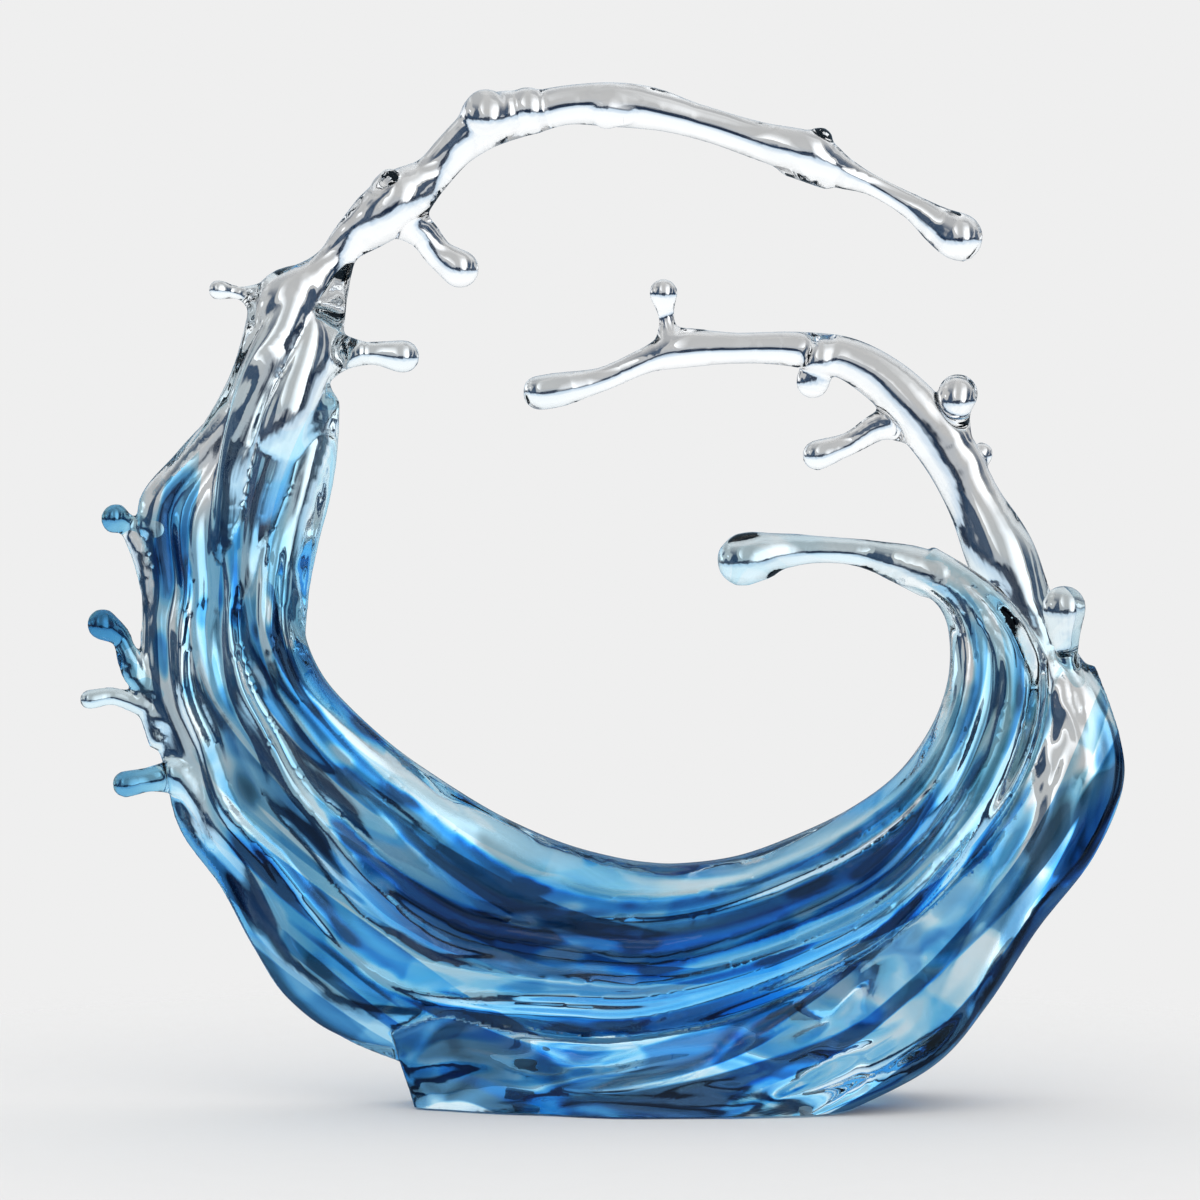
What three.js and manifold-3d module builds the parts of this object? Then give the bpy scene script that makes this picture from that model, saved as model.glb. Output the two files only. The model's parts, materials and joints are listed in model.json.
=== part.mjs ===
// Resin wave sculpture: a ring-shaped breaking wave with droplet-tipped arms, cast in tinted
// clear resin and bonded from separate castings. Millimetres, +Z up, the front faces -Y.

import * as THREE from 'three';
import { mergeVertices } from 'three/addons/utils/BufferGeometryUtils.js';
import Module from 'manifold-3d';

const wasm = await Module();
wasm.setup();

// Overall size of the sculpture
const WIDTH = 470;
const HEIGHT = 460;
// Farthest that an arm leans to the front or the back
const SWAY = 65;

// Bonded joints between castings
const BOND_GAP = 0.3;
const SPIGOT_RADIUS = WIDTH * 0.0085;
const SPIGOT_REACH = WIDTH * 0.017;
const REGISTER_PEG_RADIUS = WIDTH * 0.0106;
const REGISTER_PEG_REACH = WIDTH * 0.019;

// Feet under the polished base
const PAD_RADIUS = 6;
const PAD_THICKNESS = 2.2;
const PAD_RECESS = 1.2;
const PAD_SIDE_GAP = 0.4;
const OVERRUN = 40;

// Thickness of the wave wall and its ribs
const WALL_HALF_THICKNESS = 16;
const RIB_HEIGHT = 2.4;
const RIB_COUNT = 6;
const RIB_VALLEY_SHARE = 0.5;
const WALL_EDGE_POWER = 2.4;

// Thickness of the foot and the right shell
const FOOT_HALF_DEPTH = 64;
const SHELL_EDGE_POWER = 3;

// Radius of each arm at its reference section, and of the reference droplet, all in step
// with the width
const CREST_ARM_RADIUS = WIDTH * 0.02766;
const RIGHT_ARM_RADIUS = WIDTH * 0.02681;
const LIP_TENDRIL_RADIUS = WIDTH * 0.01149;
const DROPLET_RADIUS = WIDTH * 0.02128;

// Fineness of the faceted castings
const ARM_SIDES = 12;
const DROPLET_SIDES = 8;
const CAP_RINGS = 2;
const ARM_RING_SPACING_SHARE = 1.3;
const WALL_LOOP_POINTS = 36;
const WALL_STEPS = 28;
const SHELL_LOOP_POINTS = 24;
const SHELL_STEPS = 22;
const EDGE_CROWDING_SHARE = 0.4;
const MERGE_DISTANCE = 0.0005;

// Front picture that the outlines are set out on: pixels, x to the right and y down
const LEFT_PIXEL = 78;
const RIGHT_PIXEL = 1122;
const TOP_PIXEL = 85;
const GROUND_PIXEL = 1107;

// Each row of an arm: x pixel, y pixel, depth share of SWAY, radius share, flatness share
const CREST_PIXELS_AND_SHARES = [
  [280, 409, 0.0, 1.98, 0.5],
  [280, 385, 0.0, 1.75, 0.54],
  [291, 340, 0.0, 1.55, 0.62],
  [292, 306, -0.02, 1.36, 0.75],
  [316, 282, -0.03, 0.86, 0.95],
  [334, 262, -0.05, 0.6, 1],
  [351, 241, -0.06, 0.66, 1],
  [378, 219, -0.08, 0.96, 1],
  [407, 196, -0.1, 1.0, 1],
  [432, 176, -0.12, 0.68, 1],
  [452, 154, -0.14, 0.66, 1],
  [471, 137, -0.17, 0.78, 1],
  [496, 120, -0.2, 0.88, 1],
  [533, 114, -0.24, 0.72, 1],
  [565, 107, -0.26, 0.68, 1],
  [605, 106, -0.28, 0.74, 1],
  [650, 110, -0.3, 0.7, 1],
  [700, 124, -0.32, 0.6, 1],
  [755, 141, -0.34, 0.64, 1],
  [808, 158, -0.36, 0.84, 1],
  [840, 174, -0.37, 0.56, 1],
  [870, 187, -0.38, 0.36, 1],
  [905, 206, -0.39, 0.42, 1],
  [935, 226, -0.4, 0.66, 1],
  [954, 237, -0.4, 0.84, 1],
];
const RIGHT_ARM_PIXELS_AND_SHARES = [
  [1066, 722, 0.14, 0.55, 1],
  [1047, 660, 0.24, 1.05, 1],
  [1007, 565, 0.27, 1.25, 1],
  [976, 503, 0.24, 1.0, 1],
  [950, 454, 0.18, 1.02, 1],
  [920, 416, 0.12, 1.0, 1],
  [885, 381, 0.05, 0.88, 1],
  [845, 358, 0.0, 0.76, 1],
  [800, 350, -0.04, 0.64, 1],
  [740, 348, -0.08, 0.58, 1],
  [680, 349, -0.12, 0.66, 1],
  [642, 361, -0.14, 0.46, 1],
  [602, 378, -0.16, 0.44, 1],
  [562, 388, -0.18, 0.6, 1],
  [541, 392, -0.18, 0.62, 1],
];
const LIP_TENDRIL_PIXELS_AND_SHARES = [
  [930, 573, -0.18, 1.95, 1],
  [897, 561, -0.23, 1.65, 1],
  [860, 551, -0.28, 1.15, 1],
  [820, 547, -0.32, 1.15, 1],
  [785, 548, -0.36, 1.45, 1],
  [758, 553, -0.39, 2.0, 1],
  [742, 557, -0.4, 2.15, 1],
];

// Where the arms are divided into castings, as shares of their length from the root
const CREST_KNUCKLE_SHARE = 0.34;
const CREST_COLLAR_SHARE = 0.485;
const RIGHT_ARM_SPLICE_SHARE = 0.53;
const LIP_JOINT_SHARE = 0.17;

// Each row of the wave wall: inner edge x and y pixel, outer edge x and y pixel, then the depth
// shares of SWAY and the half-thickness shares of WALL_HALF_THICKNESS at the two edges
const WALL_PIXELS_AND_SHARES = [
  [337, 409, 217, 409, -0.06, 0.06, 0.85, 0.6],
  [328, 478, 176, 453, -0.14, 0.14, 0.9, 0.45],
  [313, 540, 136, 506, -0.2, 0.22, 0.95, 0.4],
  [304, 592, 145, 585, -0.23, 0.25, 1.0, 0.4],
  [307, 634, 138, 636, -0.23, 0.26, 1.0, 0.4],
  [324, 673, 140, 702, -0.23, 0.26, 1.0, 0.42],
  [352, 706, 159, 758, -0.22, 0.24, 1.0, 0.46],
  [396, 746, 176, 828, -0.18, 0.2, 1.0, 0.5],
  [444, 780, 218, 886, -0.15, 0.15, 1.0, 0.6],
  [492, 810, 250, 948, -0.12, 0.12, 1.0, 0.7],
  [532, 830, 286, 1002, -0.09, 0.08, 1.0, 0.8],
  [566, 844, 346, 1042, -0.06, 0.05, 1.0, 0.95],
  [600, 854, 440, 1056, -0.05, 0.0, 1.0, 1.15],
  [640, 862, 530, 1060, -0.04, 0.0, 1.0, 1.3],
  [682, 864, 622, 1062, -0.03, 0.0, 1.0, 1.35],
  [740, 856, 722, 1038, -0.02, 0.0, 1.0, 1.35],
  [800, 834, 814, 1004, -0.02, 0.0, 1.0, 1.3],
  [852, 808, 896, 960, -0.03, 0.02, 1.0, 1.2],
  [897, 774, 958, 896, -0.05, 0.04, 0.95, 1.05],
  [930, 728, 1008, 824, -0.08, 0.06, 0.9, 0.9],
  [947, 680, 1042, 748, -0.12, 0.06, 0.85, 0.8],
  [948, 634, 1050, 672, -0.15, 0.05, 0.8, 0.7],
  [938, 606, 1026, 622, -0.18, 0.0, 0.75, 0.65],
  [916, 588, 988, 580, -0.2, -0.08, 0.65, 0.6],
  [897, 582, 932, 545, -0.23, -0.18, 0.55, 0.55],
];

// Each row of the foot and right shell: the same columns, with half-thickness shares of
// FOOT_HALF_DEPTH
const SHELL_PIXELS_AND_SHARES = [
  [386, 1016, 424, 1134, -0.03, -0.04, 0.22, 0.26],
  [446, 1002, 470, 1134, -0.03, -0.05, 0.34, 0.46],
  [520, 1024, 532, 1132, -0.02, -0.04, 0.4, 0.7],
  [600, 1034, 606, 1132, 0.0, -0.02, 0.4, 0.95],
  [680, 1024, 694, 1132, 0.0, 0.0, 0.4, 1.0],
  [756, 1000, 790, 1128, 0.0, 0.02, 0.38, 0.96],
  [828, 964, 878, 1096, 0.0, 0.04, 0.36, 0.84],
  [884, 922, 942, 1060, 0.02, 0.06, 0.32, 0.64],
  [932, 876, 990, 1006, 0.05, 0.1, 0.28, 0.46],
  [976, 820, 1040, 932, 0.08, 0.14, 0.24, 0.34],
  [1006, 762, 1097, 858, 0.1, 0.16, 0.2, 0.26],
  [1026, 706, 1127, 778, 0.1, 0.16, 0.19, 0.2],
  [1040, 668, 1109, 704, 0.1, 0.16, 0.17, 0.16],
  [1050, 648, 1083, 651, 0.1, 0.14, 0.14, 0.13],
];
const FOOT_JOINT_SHARE = 0.56;

// Droplets and branches. Path rows: x pixel, y pixel, depth share of SWAY. Each path row has
// a radius share of DROPLET_RADIUS.
const DROPLETS = [
  {
    name: 'neck_droplet_left',
    host: 'crest_arm',
    pathPixelsAndShares: [[264, 300, 0], [240, 293, -0.02], [220, 290, -0.04]],
    radiusShares: [0.5, 0.32, 0.45],
  },
  {
    name: 'neck_droplet_right',
    host: 'crest_arm',
    pathPixelsAndShares: [[312, 362, -0.06], [345, 356, -0.1], [374, 353, -0.12], [404, 356, -0.14]],
    radiusShares: [0.8, 0.7, 0.6, 0.76],
  },
  {
    name: 'crest_droplet_low',
    host: 'crest_arm',
    pathPixelsAndShares: [[401, 217, -0.06], [424, 234, -0.11], [440, 254, -0.15], [461, 269, -0.18]],
    radiusShares: [0.5, 0.76, 0.74, 0.84],
  },
  {
    name: 'crest_droplet_ring',
    host: 'crest_arm',
    pathPixelsAndShares: [[387, 190, -0.17], [392, 182, -0.27]],
    radiusShares: [0.44, 0.63],
  },
  {
    name: 'crest_knob_upper',
    host: 'crest_knuckle',
    pathPixelsAndShares: [[482, 118, -0.18], [487, 112, -0.33]],
    radiusShares: [0.6, 0.96],
  },
  {
    name: 'crest_bead',
    host: 'crest_tendril',
    pathPixelsAndShares: [[606, 117, -0.38], [626, 119, -0.4]],
    radiusShares: [0.4, 0.4],
  },
  {
    name: 'arm_droplet_up',
    host: 'right_arm_span',
    pathPixelsAndShares: [[670, 349, -0.12], [666, 318, -0.13], [663, 293, -0.15]],
    radiusShares: [0.46, 0.36, 0.63],
  },
  {
    name: 'arm_droplet_rear',
    host: 'right_arm_span',
    pathPixelsAndShares: [[822, 352, 0.02], [813, 382, 0.12]],
    radiusShares: [0.5, 0.76],
  },
  {
    name: 'arm_droplet_inner',
    host: 'right_arm_root',
    pathPixelsAndShares: [[918, 425, 0.12], [884, 425, 0.08], [850, 443, 0.02], [817, 455, -0.02]],
    radiusShares: [0.6, 0.7, 0.52, 0.67],
  },
  {
    name: 'arm_droplet_outer',
    host: 'right_arm_root',
    pathPixelsAndShares: [[951, 438, 0.12], [954, 412, 0.05], [957, 394, -0.02]],
    radiusShares: [0.6, 0.74, 0.9],
  },
  {
    name: 'arm_droplet_outer_rear',
    host: 'right_arm_root',
    pathPixelsAndShares: [[964, 478, 0.24], [984, 456, 0.36]],
    radiusShares: [0.5, 0.54],
  },
  {
    name: 'rim_teardrop',
    host: 'right_shell',
    pathPixelsAndShares: [[1082, 686, 0.0], [1069, 645, -0.05], [1063, 607, -0.08]],
    radiusShares: [0.4, 0.7, 0.99],
  },
  {
    name: 'left_ball_upper',
    host: 'wave_wall',
    pathPixelsAndShares: [[170, 532, 0.14], [148, 527, 0.18], [130, 525, 0.18], [115, 520, 0.16]],
    radiusShares: [0.3, 0.42, 0.36, 0.68],
  },
  {
    name: 'left_ball_middle',
    host: 'wave_wall',
    pathPixelsAndShares: [[172, 696, 0.17], [134, 682, 0.24], [124, 660, 0.18], [120, 640, 0.17], [101, 626, 0.16]],
    radiusShares: [0.3, 0.46, 0.42, 0.44, 0.7],
  },
  {
    name: 'left_horn',
    host: 'wave_wall',
    pathPixelsAndShares: [[172, 726, 0.19], [136, 708, 0.24], [110, 699, 0.22], [87, 702, 0.2]],
    radiusShares: [0.3, 0.44, 0.4, 0.44],
  },
  {
    name: 'left_droplet_lower',
    host: 'wave_wall',
    pathPixelsAndShares: [[226, 812, 0.11], [182, 786, 0.16], [150, 782, 0.12], [124, 786, 0.1]],
    radiusShares: [0.34, 0.64, 0.54, 0.6],
  },
  {
    name: 'inner_feather',
    host: 'wave_wall',
    pathPixelsAndShares: [[328, 420, -0.26], [320, 460, -0.32], [304, 520, -0.36], [294, 580, -0.36], [292, 612, -0.34]],
    radiusShares: [0.25, 0.6, 0.7, 0.46, 0.2],
  },
];

// Raised folds of the neck, part of the crest arm casting: path rows as above
const NECK_FOLDS = [
  { pathPixelsAndShares: [[262, 318, -0.14], [262, 348, -0.16], [252, 380, -0.14]], radiusShares: [0.3, 0.46, 0.3] },
  { pathPixelsAndShares: [[324, 312, -0.1], [322, 336, -0.14], [306, 360, -0.18], [294, 384, -0.15]], radiusShares: [0.3, 0.5, 0.5, 0.3] },
];

// Places of the four pads on the base: x pixel, depth share of FOOT_HALF_DEPTH
const PAD_PIXELS_AND_SHARES = [[530, -0.34], [530, 0.28], [810, -0.5], [810, 0.54]];

// Resin colours, from the clear crest down to the deep blue foot
const CLEAR_RESIN = 0xc8d2d6;
const PALE_RESIN = 0x9cc7dc;
const BLUE_RESIN = 0x3f93d0;
const DEEP_RESIN = 0x1552ac;
const PAD_SILICONE = 0xdfe4e6;
const RESIN_ROUGHNESS = 0.04;
const PAD_ROUGHNESS = 0.35;

// Turns a front-picture pixel and a depth share into a point of the sculpture
function place([xPixel, yPixel, depthShare], depth = SWAY) {
  const x = ((xPixel - (LEFT_PIXEL + RIGHT_PIXEL) / 2) / (RIGHT_PIXEL - LEFT_PIXEL)) * WIDTH;
  const z = ((GROUND_PIXEL - yPixel) / (GROUND_PIXEL - TOP_PIXEL)) * HEIGHT;
  return new THREE.Vector3(x, depthShare * depth, z);
}

// Closed mesh whose shared vertices are merged, as a solid that can be joined and cut
function toSolid(geometry) {
  const bare = geometry.clone();
  bare.deleteAttribute('normal');
  bare.deleteAttribute('uv');
  const merged = mergeVertices(bare, MERGE_DISTANCE);
  const mesh = new wasm.Mesh({
    numProp: 3,
    vertProperties: new Float32Array(merged.attributes.position.array),
    triVerts: new Uint32Array(merged.index.array),
  });
  return new wasm.Manifold(mesh);
}

// Largest body of a solid: cutting one casting by its neighbour can leave loose slivers
function mainBody(solid) {
  const bodies = solid.decompose();
  return bodies.reduce((largest, body) => (body.volume() > largest.volume() ? body : largest));
}

// Skin through a row of loops of equal length, closed by a point at each end
function loft(loops, startPoint, endPoint) {
  const sides = loops[0].length;
  const skin = new THREE.SphereGeometry(1, sides, loops.length + 1);
  const position = skin.attributes.position;
  for (let row = 0; row <= loops.length + 1; row += 1) {
    for (let side = 0; side <= sides; side += 1) {
      const inside = row > 0 && row <= loops.length;
      const end = row === 0 ? startPoint : endPoint;
      const point = inside ? loops[row - 1][side % sides] : end;
      position.setXYZ(row * (sides + 1) + side, point.x, point.y, point.z);
    }
  }
  return toSolid(skin);
}

// Cubic blend between two values that leaves and arrives in step with their neighbours
function catmullRom(before, start, end, after, fraction) {
  const leave = (end - before) / 2;
  const arrive = (after - start) / 2;
  const square = fraction * fraction;
  const cube = square * fraction;
  return (2 * cube - 3 * square + 1) * start + (cube - 2 * square + fraction) * leave
    + (3 * square - 2 * cube) * end + (cube - square) * arrive;
}

// Value of a row of numbers at a share of its length, smooth through every number
function blend(values, share) {
  const position = THREE.MathUtils.clamp(share, 0, 1) * (values.length - 1);
  const index = Math.min(Math.floor(position), values.length - 2);
  const before = values[Math.max(index - 1, 0)];
  const after = values[Math.min(index + 2, values.length - 1)];
  return catmullRom(before, values[index], values[index + 1], after, position - index);
}

// Route of an arm: a curve through its points with the radius and flatness along it
function route(points, radii, flatnessShares = radii.map(() => 1)) {
  return { curve: new THREE.CatmullRomCurve3(points, false, 'centripetal'), radii, flatnessShares };
}

function armRoute(rows, radius) {
  return route(rows.map((row) => place(row)), rows.map((row) => row[3] * radius), rows.map((row) => row[4]));
}

// Evenly spaced sections of a strand between two shares of its length
function strandSections(path, from, to, grow) {
  const length = path.curve.getLength() * (to - from);
  const meanRadius = path.radii.reduce((sum, radius) => sum + radius, 0) / path.radii.length;
  const steps = Math.max(3, Math.round(length / (meanRadius * ARM_RING_SPACING_SHARE)));
  const sections = [];
  for (let step = 0; step <= steps; step += 1) {
    const share = THREE.MathUtils.lerp(from, to, step / steps);
    const turn = path.curve.getUtoTmapping(share);
    sections.push({
      centre: path.curve.getPoint(turn),
      tangent: path.curve.getTangent(turn),
      radius: blend(path.radii, turn) + grow,
      flatness: blend(path.flatnessShares, turn),
    });
  }
  return sections;
}

// Rings that close a strand with a half ball, from its last section outwards
function capSections(section, direction) {
  const rings = [];
  for (let ring = 1; ring <= CAP_RINGS; ring += 1) {
    const angle = (ring / (CAP_RINGS + 1)) * (Math.PI / 2);
    const reach = section.radius * Math.sin(angle) * direction;
    rings.push({
      ...section,
      centre: section.centre.clone().addScaledVector(section.tangent, reach),
      radius: section.radius * Math.cos(angle),
    });
  }
  return rings;
}

// Round strand along a route. A cut end is flat, and moved outwards by the growth.
function strand(path, { from = 0, to = 1, grow = 0, sides = ARM_SIDES, flatStart = false, flatEnd = false } = {}) {
  const body = strandSections(path, from, to, grow);
  const first = body[0];
  const last = body[body.length - 1];
  first.centre.addScaledVector(first.tangent, flatStart ? -grow : 0);
  last.centre.addScaledVector(last.tangent, flatEnd ? grow : 0);
  const startCap = flatStart ? [] : capSections(first, -1).reverse();
  const endCap = flatEnd ? [] : capSections(last, 1);
  const sections = [...startCap, ...body, ...endCap];
  const across = new THREE.Vector3(0, 1, 0);
  if (Math.abs(first.tangent.y) > Math.SQRT1_2) {
    across.set(0, 0, 1);
  }
  const loops = sections.map((section) => {
    across.addScaledVector(section.tangent, -across.dot(section.tangent)).normalize();
    const aside = new THREE.Vector3().crossVectors(across, section.tangent);
    return ringPoints(section, aside, across, sides);
  });
  const startPoint = first.centre.clone().addScaledVector(first.tangent, flatStart ? 0 : -first.radius);
  const endPoint = last.centre.clone().addScaledVector(last.tangent, flatEnd ? 0 : last.radius);
  return loft(loops, startPoint, endPoint);
}

// Points of one oval ring, turning the way that keeps the skin facing out
function ringPoints(section, aside, across, sides) {
  return Array.from({ length: sides }, (unused, side) => {
    const angle = (side / sides) * Math.PI * 2;
    return section.centre
      .clone()
      .addScaledVector(aside, -Math.cos(angle) * section.radius)
      .addScaledVector(across, Math.sin(angle) * section.radius * section.flatness);
  });
}

// Smooth row between the set-out rows of a band
function bandRow(rows, share) {
  return rows[0].map((unused, column) => blend(rows.map((row) => row[column]), share));
}

// Loop of a band section: along the back from the inner to the outer edge, and back along
// the front. The half-thickness closes to nothing at both edges.
function bandLoop(row, band, grow) {
  const inner = place([row[0], row[1], row[4]]);
  const outer = place([row[2], row[3], row[5]]);
  const aside = outer.clone().sub(inner).setY(0).normalize();
  inner.addScaledVector(aside, -grow);
  outer.addScaledVector(aside, grow);
  return Array.from({ length: band.loopPoints }, (unused, index) => {
    const turn = index / band.loopPoints;
    const isBack = turn <= 0.5;
    const across = isBack ? turn * 2 : 2 - turn * 2;
    const share = THREE.MathUtils.lerp(across, (1 - Math.cos(across * Math.PI)) / 2, EDGE_CROWDING_SHARE);
    const plain = THREE.MathUtils.lerp(row[6], row[7], share) * band.halfThickness;
    const edge = (1 - Math.abs(2 * share - 1) ** band.edgePower) ** (1 / band.edgePower);
    const rib = band.ribHeight * (Math.abs(Math.sin(share * Math.PI * RIB_COUNT)) - RIB_VALLEY_SHARE);
    const half = (plain + rib) * edge + grow;
    const point = inner.clone().lerp(outer, share);
    point.y += share === 0 || share === 1 ? 0 : half * (isBack ? 1 : -1);
    return point;
  });
}

// Band between two shares of its length, with a flat face at each end
function bandSolid(band, { from = 0, to = 1, grow = 0 } = {}) {
  const steps = Math.max(2, Math.round(band.steps * (to - from)));
  const rows = Array.from({ length: steps + 1 }, (unused, step) => (
    bandRow(band.rows, THREE.MathUtils.lerp(from, to, step / steps))
  ));
  const loops = rows.map((row) => bandLoop(row, band, grow));
  shiftLoop(loops[0], flow(rows[1], rows[0]).multiplyScalar(grow));
  shiftLoop(loops[steps], flow(rows[steps - 1], rows[steps]).multiplyScalar(grow));
  return loft(loops, centreOf(loops[0]), centreOf(loops[steps]));
}

// Unit direction from one band row to the next
function flow(fromRow, toRow) {
  return middle(toRow).sub(middle(fromRow)).normalize();
}

function middle(row) {
  return place([row[0], row[1], row[4]]).lerp(place([row[2], row[3], row[5]]), 0.5);
}

function shiftLoop(loop, shift) {
  loop.forEach((point) => point.add(shift));
}

function centreOf(loop) {
  return loop.reduce((sum, point) => sum.add(point), new THREE.Vector3()).divideScalar(loop.length);
}

const WALL_BAND = {
  rows: WALL_PIXELS_AND_SHARES,
  halfThickness: WALL_HALF_THICKNESS,
  ribHeight: RIB_HEIGHT,
  edgePower: WALL_EDGE_POWER,
  loopPoints: WALL_LOOP_POINTS,
  steps: WALL_STEPS,
};
const SHELL_BAND = {
  rows: SHELL_PIXELS_AND_SHARES,
  halfThickness: FOOT_HALF_DEPTH,
  ribHeight: 0,
  edgePower: SHELL_EDGE_POWER,
  loopPoints: SHELL_LOOP_POINTS,
  steps: SHELL_STEPS,
};

const CREST = armRoute(CREST_PIXELS_AND_SHARES, CREST_ARM_RADIUS);
const RIGHT_ARM = armRoute(RIGHT_ARM_PIXELS_AND_SHARES, RIGHT_ARM_RADIUS);
const LIP_TENDRIL = armRoute(LIP_TENDRIL_PIXELS_AND_SHARES, LIP_TENDRIL_RADIUS);

// Thin core that runs inside a route across a joint: the spigot of one casting in the other
function spigot(path, jointShare, grow = 0) {
  const reach = SPIGOT_REACH / path.curve.getLength();
  const core = { ...path, radii: path.radii.map(() => SPIGOT_RADIUS), flatnessShares: path.radii.map(() => 1) };
  return strand(core, {
    from: Math.max(jointShare - reach, 0),
    to: jointShare + reach,
    grow,
    sides: DROPLET_SIDES,
  });
}

// Stretch of an arm between two joints: flat at each joint, half the bond gap short of it
function armStretch(path, from, to, grow = 0) {
  const halfGap = BOND_GAP / 2 / path.curve.getLength();
  return strand(path, {
    from: from === 0 ? 0 : from + halfGap,
    to: to === 1 ? 1 : to - halfGap,
    flatStart: true,
    flatEnd: to !== 1,
    grow,
  });
}

// Droplet or branch with its root buried in its host
function droplet(shape, grow = 0) {
  const radii = shape.radiusShares.map((share) => share * DROPLET_RADIUS);
  const path = route(shape.pathPixelsAndShares.map((row) => place(row)), radii);
  return strand(path, { grow, sides: DROPLET_SIDES });
}

// Box that stands in for everything below the polished base
function ground() {
  const block = new THREE.BoxGeometry(WIDTH + OVERRUN, WIDTH + OVERRUN, OVERRUN);
  block.translate(0, 0, baseLevel() - OVERRUN / 2);
  return toSolid(block);
}

// The base stands clear of the table by what the pads stick out
function baseLevel() {
  return PAD_THICKNESS - PAD_RECESS;
}

function disc(radius, bottom, top, x, y) {
  const shape = new THREE.CylinderGeometry(radius, radius, top - bottom, DROPLET_SIDES * 2);
  shape.rotateX(Math.PI / 2);
  shape.translate(x, y, (top + bottom) / 2);
  return toSolid(shape);
}

function padPlaces() {
  return PAD_PIXELS_AND_SHARES.map(([xPixel, depthShare]) => (
    place([xPixel, GROUND_PIXEL, depthShare], FOOT_HALF_DEPTH)
  ));
}

function pad(at) {
  return disc(PAD_RADIUS, 0, PAD_THICKNESS - BOND_GAP, at.x, at.y);
}

function padRecess(at) {
  return disc(PAD_RADIUS + PAD_SIDE_GAP, -OVERRUN, PAD_THICKNESS, at.x, at.y);
}

// Peg across the joint between the foot and the right shell
function registerPeg(grow = 0) {
  const row = bandRow(SHELL_BAND.rows, FOOT_JOINT_SHARE);
  const next = bandRow(SHELL_BAND.rows, FOOT_JOINT_SHARE + 1 / SHELL_STEPS);
  const centre = middle(row);
  const along = flow(row, next);
  const ends = [-REGISTER_PEG_REACH, REGISTER_PEG_REACH].map((reach) => centre.clone().addScaledVector(along, reach));
  return strand(route(ends, [REGISTER_PEG_RADIUS, REGISTER_PEG_RADIUS]), { grow, sides: DROPLET_SIDES });
}

const droplets = DROPLETS.map((shape) => ({
  name: shape.name,
  host: shape.host,
  solid: droplet(shape),
  socket: droplet(shape, BOND_GAP),
}));

function cutSockets(solid, hostName) {
  return droplets
    .filter((piece) => piece.host === hostName)
    .reduce((host, piece) => host.subtract(piece.socket), solid);
}

// Ribbed sweep of the wave, from the neck round the bottom to the curl
function waveWall() {
  let wall = bandSolid(WALL_BAND);
  wall = wall.subtract(spigot(CREST, 0, BOND_GAP));
  wall = wall.subtract(spigot(LIP_TENDRIL, LIP_JOINT_SHARE, BOND_GAP));
  wall = wall.subtract(strand(RIGHT_ARM, { grow: BOND_GAP }));
  return mainBody(cutSockets(wall, 'wave_wall'));
}

// Band of the foot and the right shell, grooved for the wave wall and cut level underneath
function groovedBand(stretch) {
  return bandSolid(SHELL_BAND, stretch).subtract(bandSolid(WALL_BAND, { grow: BOND_GAP })).subtract(ground());
}

function footBlock() {
  let foot = groovedBand({ to: FOOT_JOINT_SHARE }).subtract(registerPeg(BOND_GAP));
  padPlaces().forEach((at) => {
    foot = foot.subtract(padRecess(at));
  });
  return mainBody(foot);
}

function rightShell() {
  let shell = groovedBand({ from: FOOT_JOINT_SHARE });
  shell = shell.subtract(bandSolid(SHELL_BAND, { to: FOOT_JOINT_SHARE, grow: BOND_GAP }));
  shell = shell.add(registerPeg());
  shell = shell.subtract(strand(RIGHT_ARM, { grow: BOND_GAP }));
  return mainBody(cutSockets(shell, 'right_shell'));
}

// The crest arm stands on the level top of the wave wall, a bond gap above it
function neckLevel() {
  const [innerX, innerY] = WALL_PIXELS_AND_SHARES[0];
  return place([innerX, innerY, 0]).z + BOND_GAP;
}

function crestArm() {
  let arm = armStretch(CREST, 0, CREST_KNUCKLE_SHARE);
  NECK_FOLDS.forEach((fold) => {
    arm = arm.add(droplet(fold));
  });
  arm = arm.trimByPlane([0, 0, 1], neckLevel()).add(spigot(CREST, 0));
  arm = arm.subtract(spigot(CREST, CREST_KNUCKLE_SHARE, BOND_GAP));
  return mainBody(cutSockets(arm, 'crest_arm'));
}

function crestKnuckle() {
  let knuckle = armStretch(CREST, CREST_KNUCKLE_SHARE, CREST_COLLAR_SHARE).add(spigot(CREST, CREST_KNUCKLE_SHARE));
  knuckle = knuckle.subtract(spigot(CREST, CREST_COLLAR_SHARE, BOND_GAP));
  return mainBody(cutSockets(knuckle, 'crest_knuckle'));
}

function crestTendril() {
  const tendril = armStretch(CREST, CREST_COLLAR_SHARE, 1).add(spigot(CREST, CREST_COLLAR_SHARE));
  return mainBody(cutSockets(tendril, 'crest_tendril'));
}

function rightArmRoot() {
  let root = armStretch(RIGHT_ARM, 0, RIGHT_ARM_SPLICE_SHARE);
  root = root.subtract(spigot(RIGHT_ARM, RIGHT_ARM_SPLICE_SHARE, BOND_GAP));
  return mainBody(cutSockets(root, 'right_arm_root'));
}

function rightArmSpan() {
  const span = armStretch(RIGHT_ARM, RIGHT_ARM_SPLICE_SHARE, 1).add(spigot(RIGHT_ARM, RIGHT_ARM_SPLICE_SHARE));
  return mainBody(cutSockets(span, 'right_arm_span'));
}

function lipTendril() {
  const tendril = armStretch(LIP_TENDRIL, LIP_JOINT_SHARE, 1);
  return mainBody(tendril.subtract(bandSolid(WALL_BAND, { grow: BOND_GAP })).add(spigot(LIP_TENDRIL, LIP_JOINT_SHARE)));
}

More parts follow.
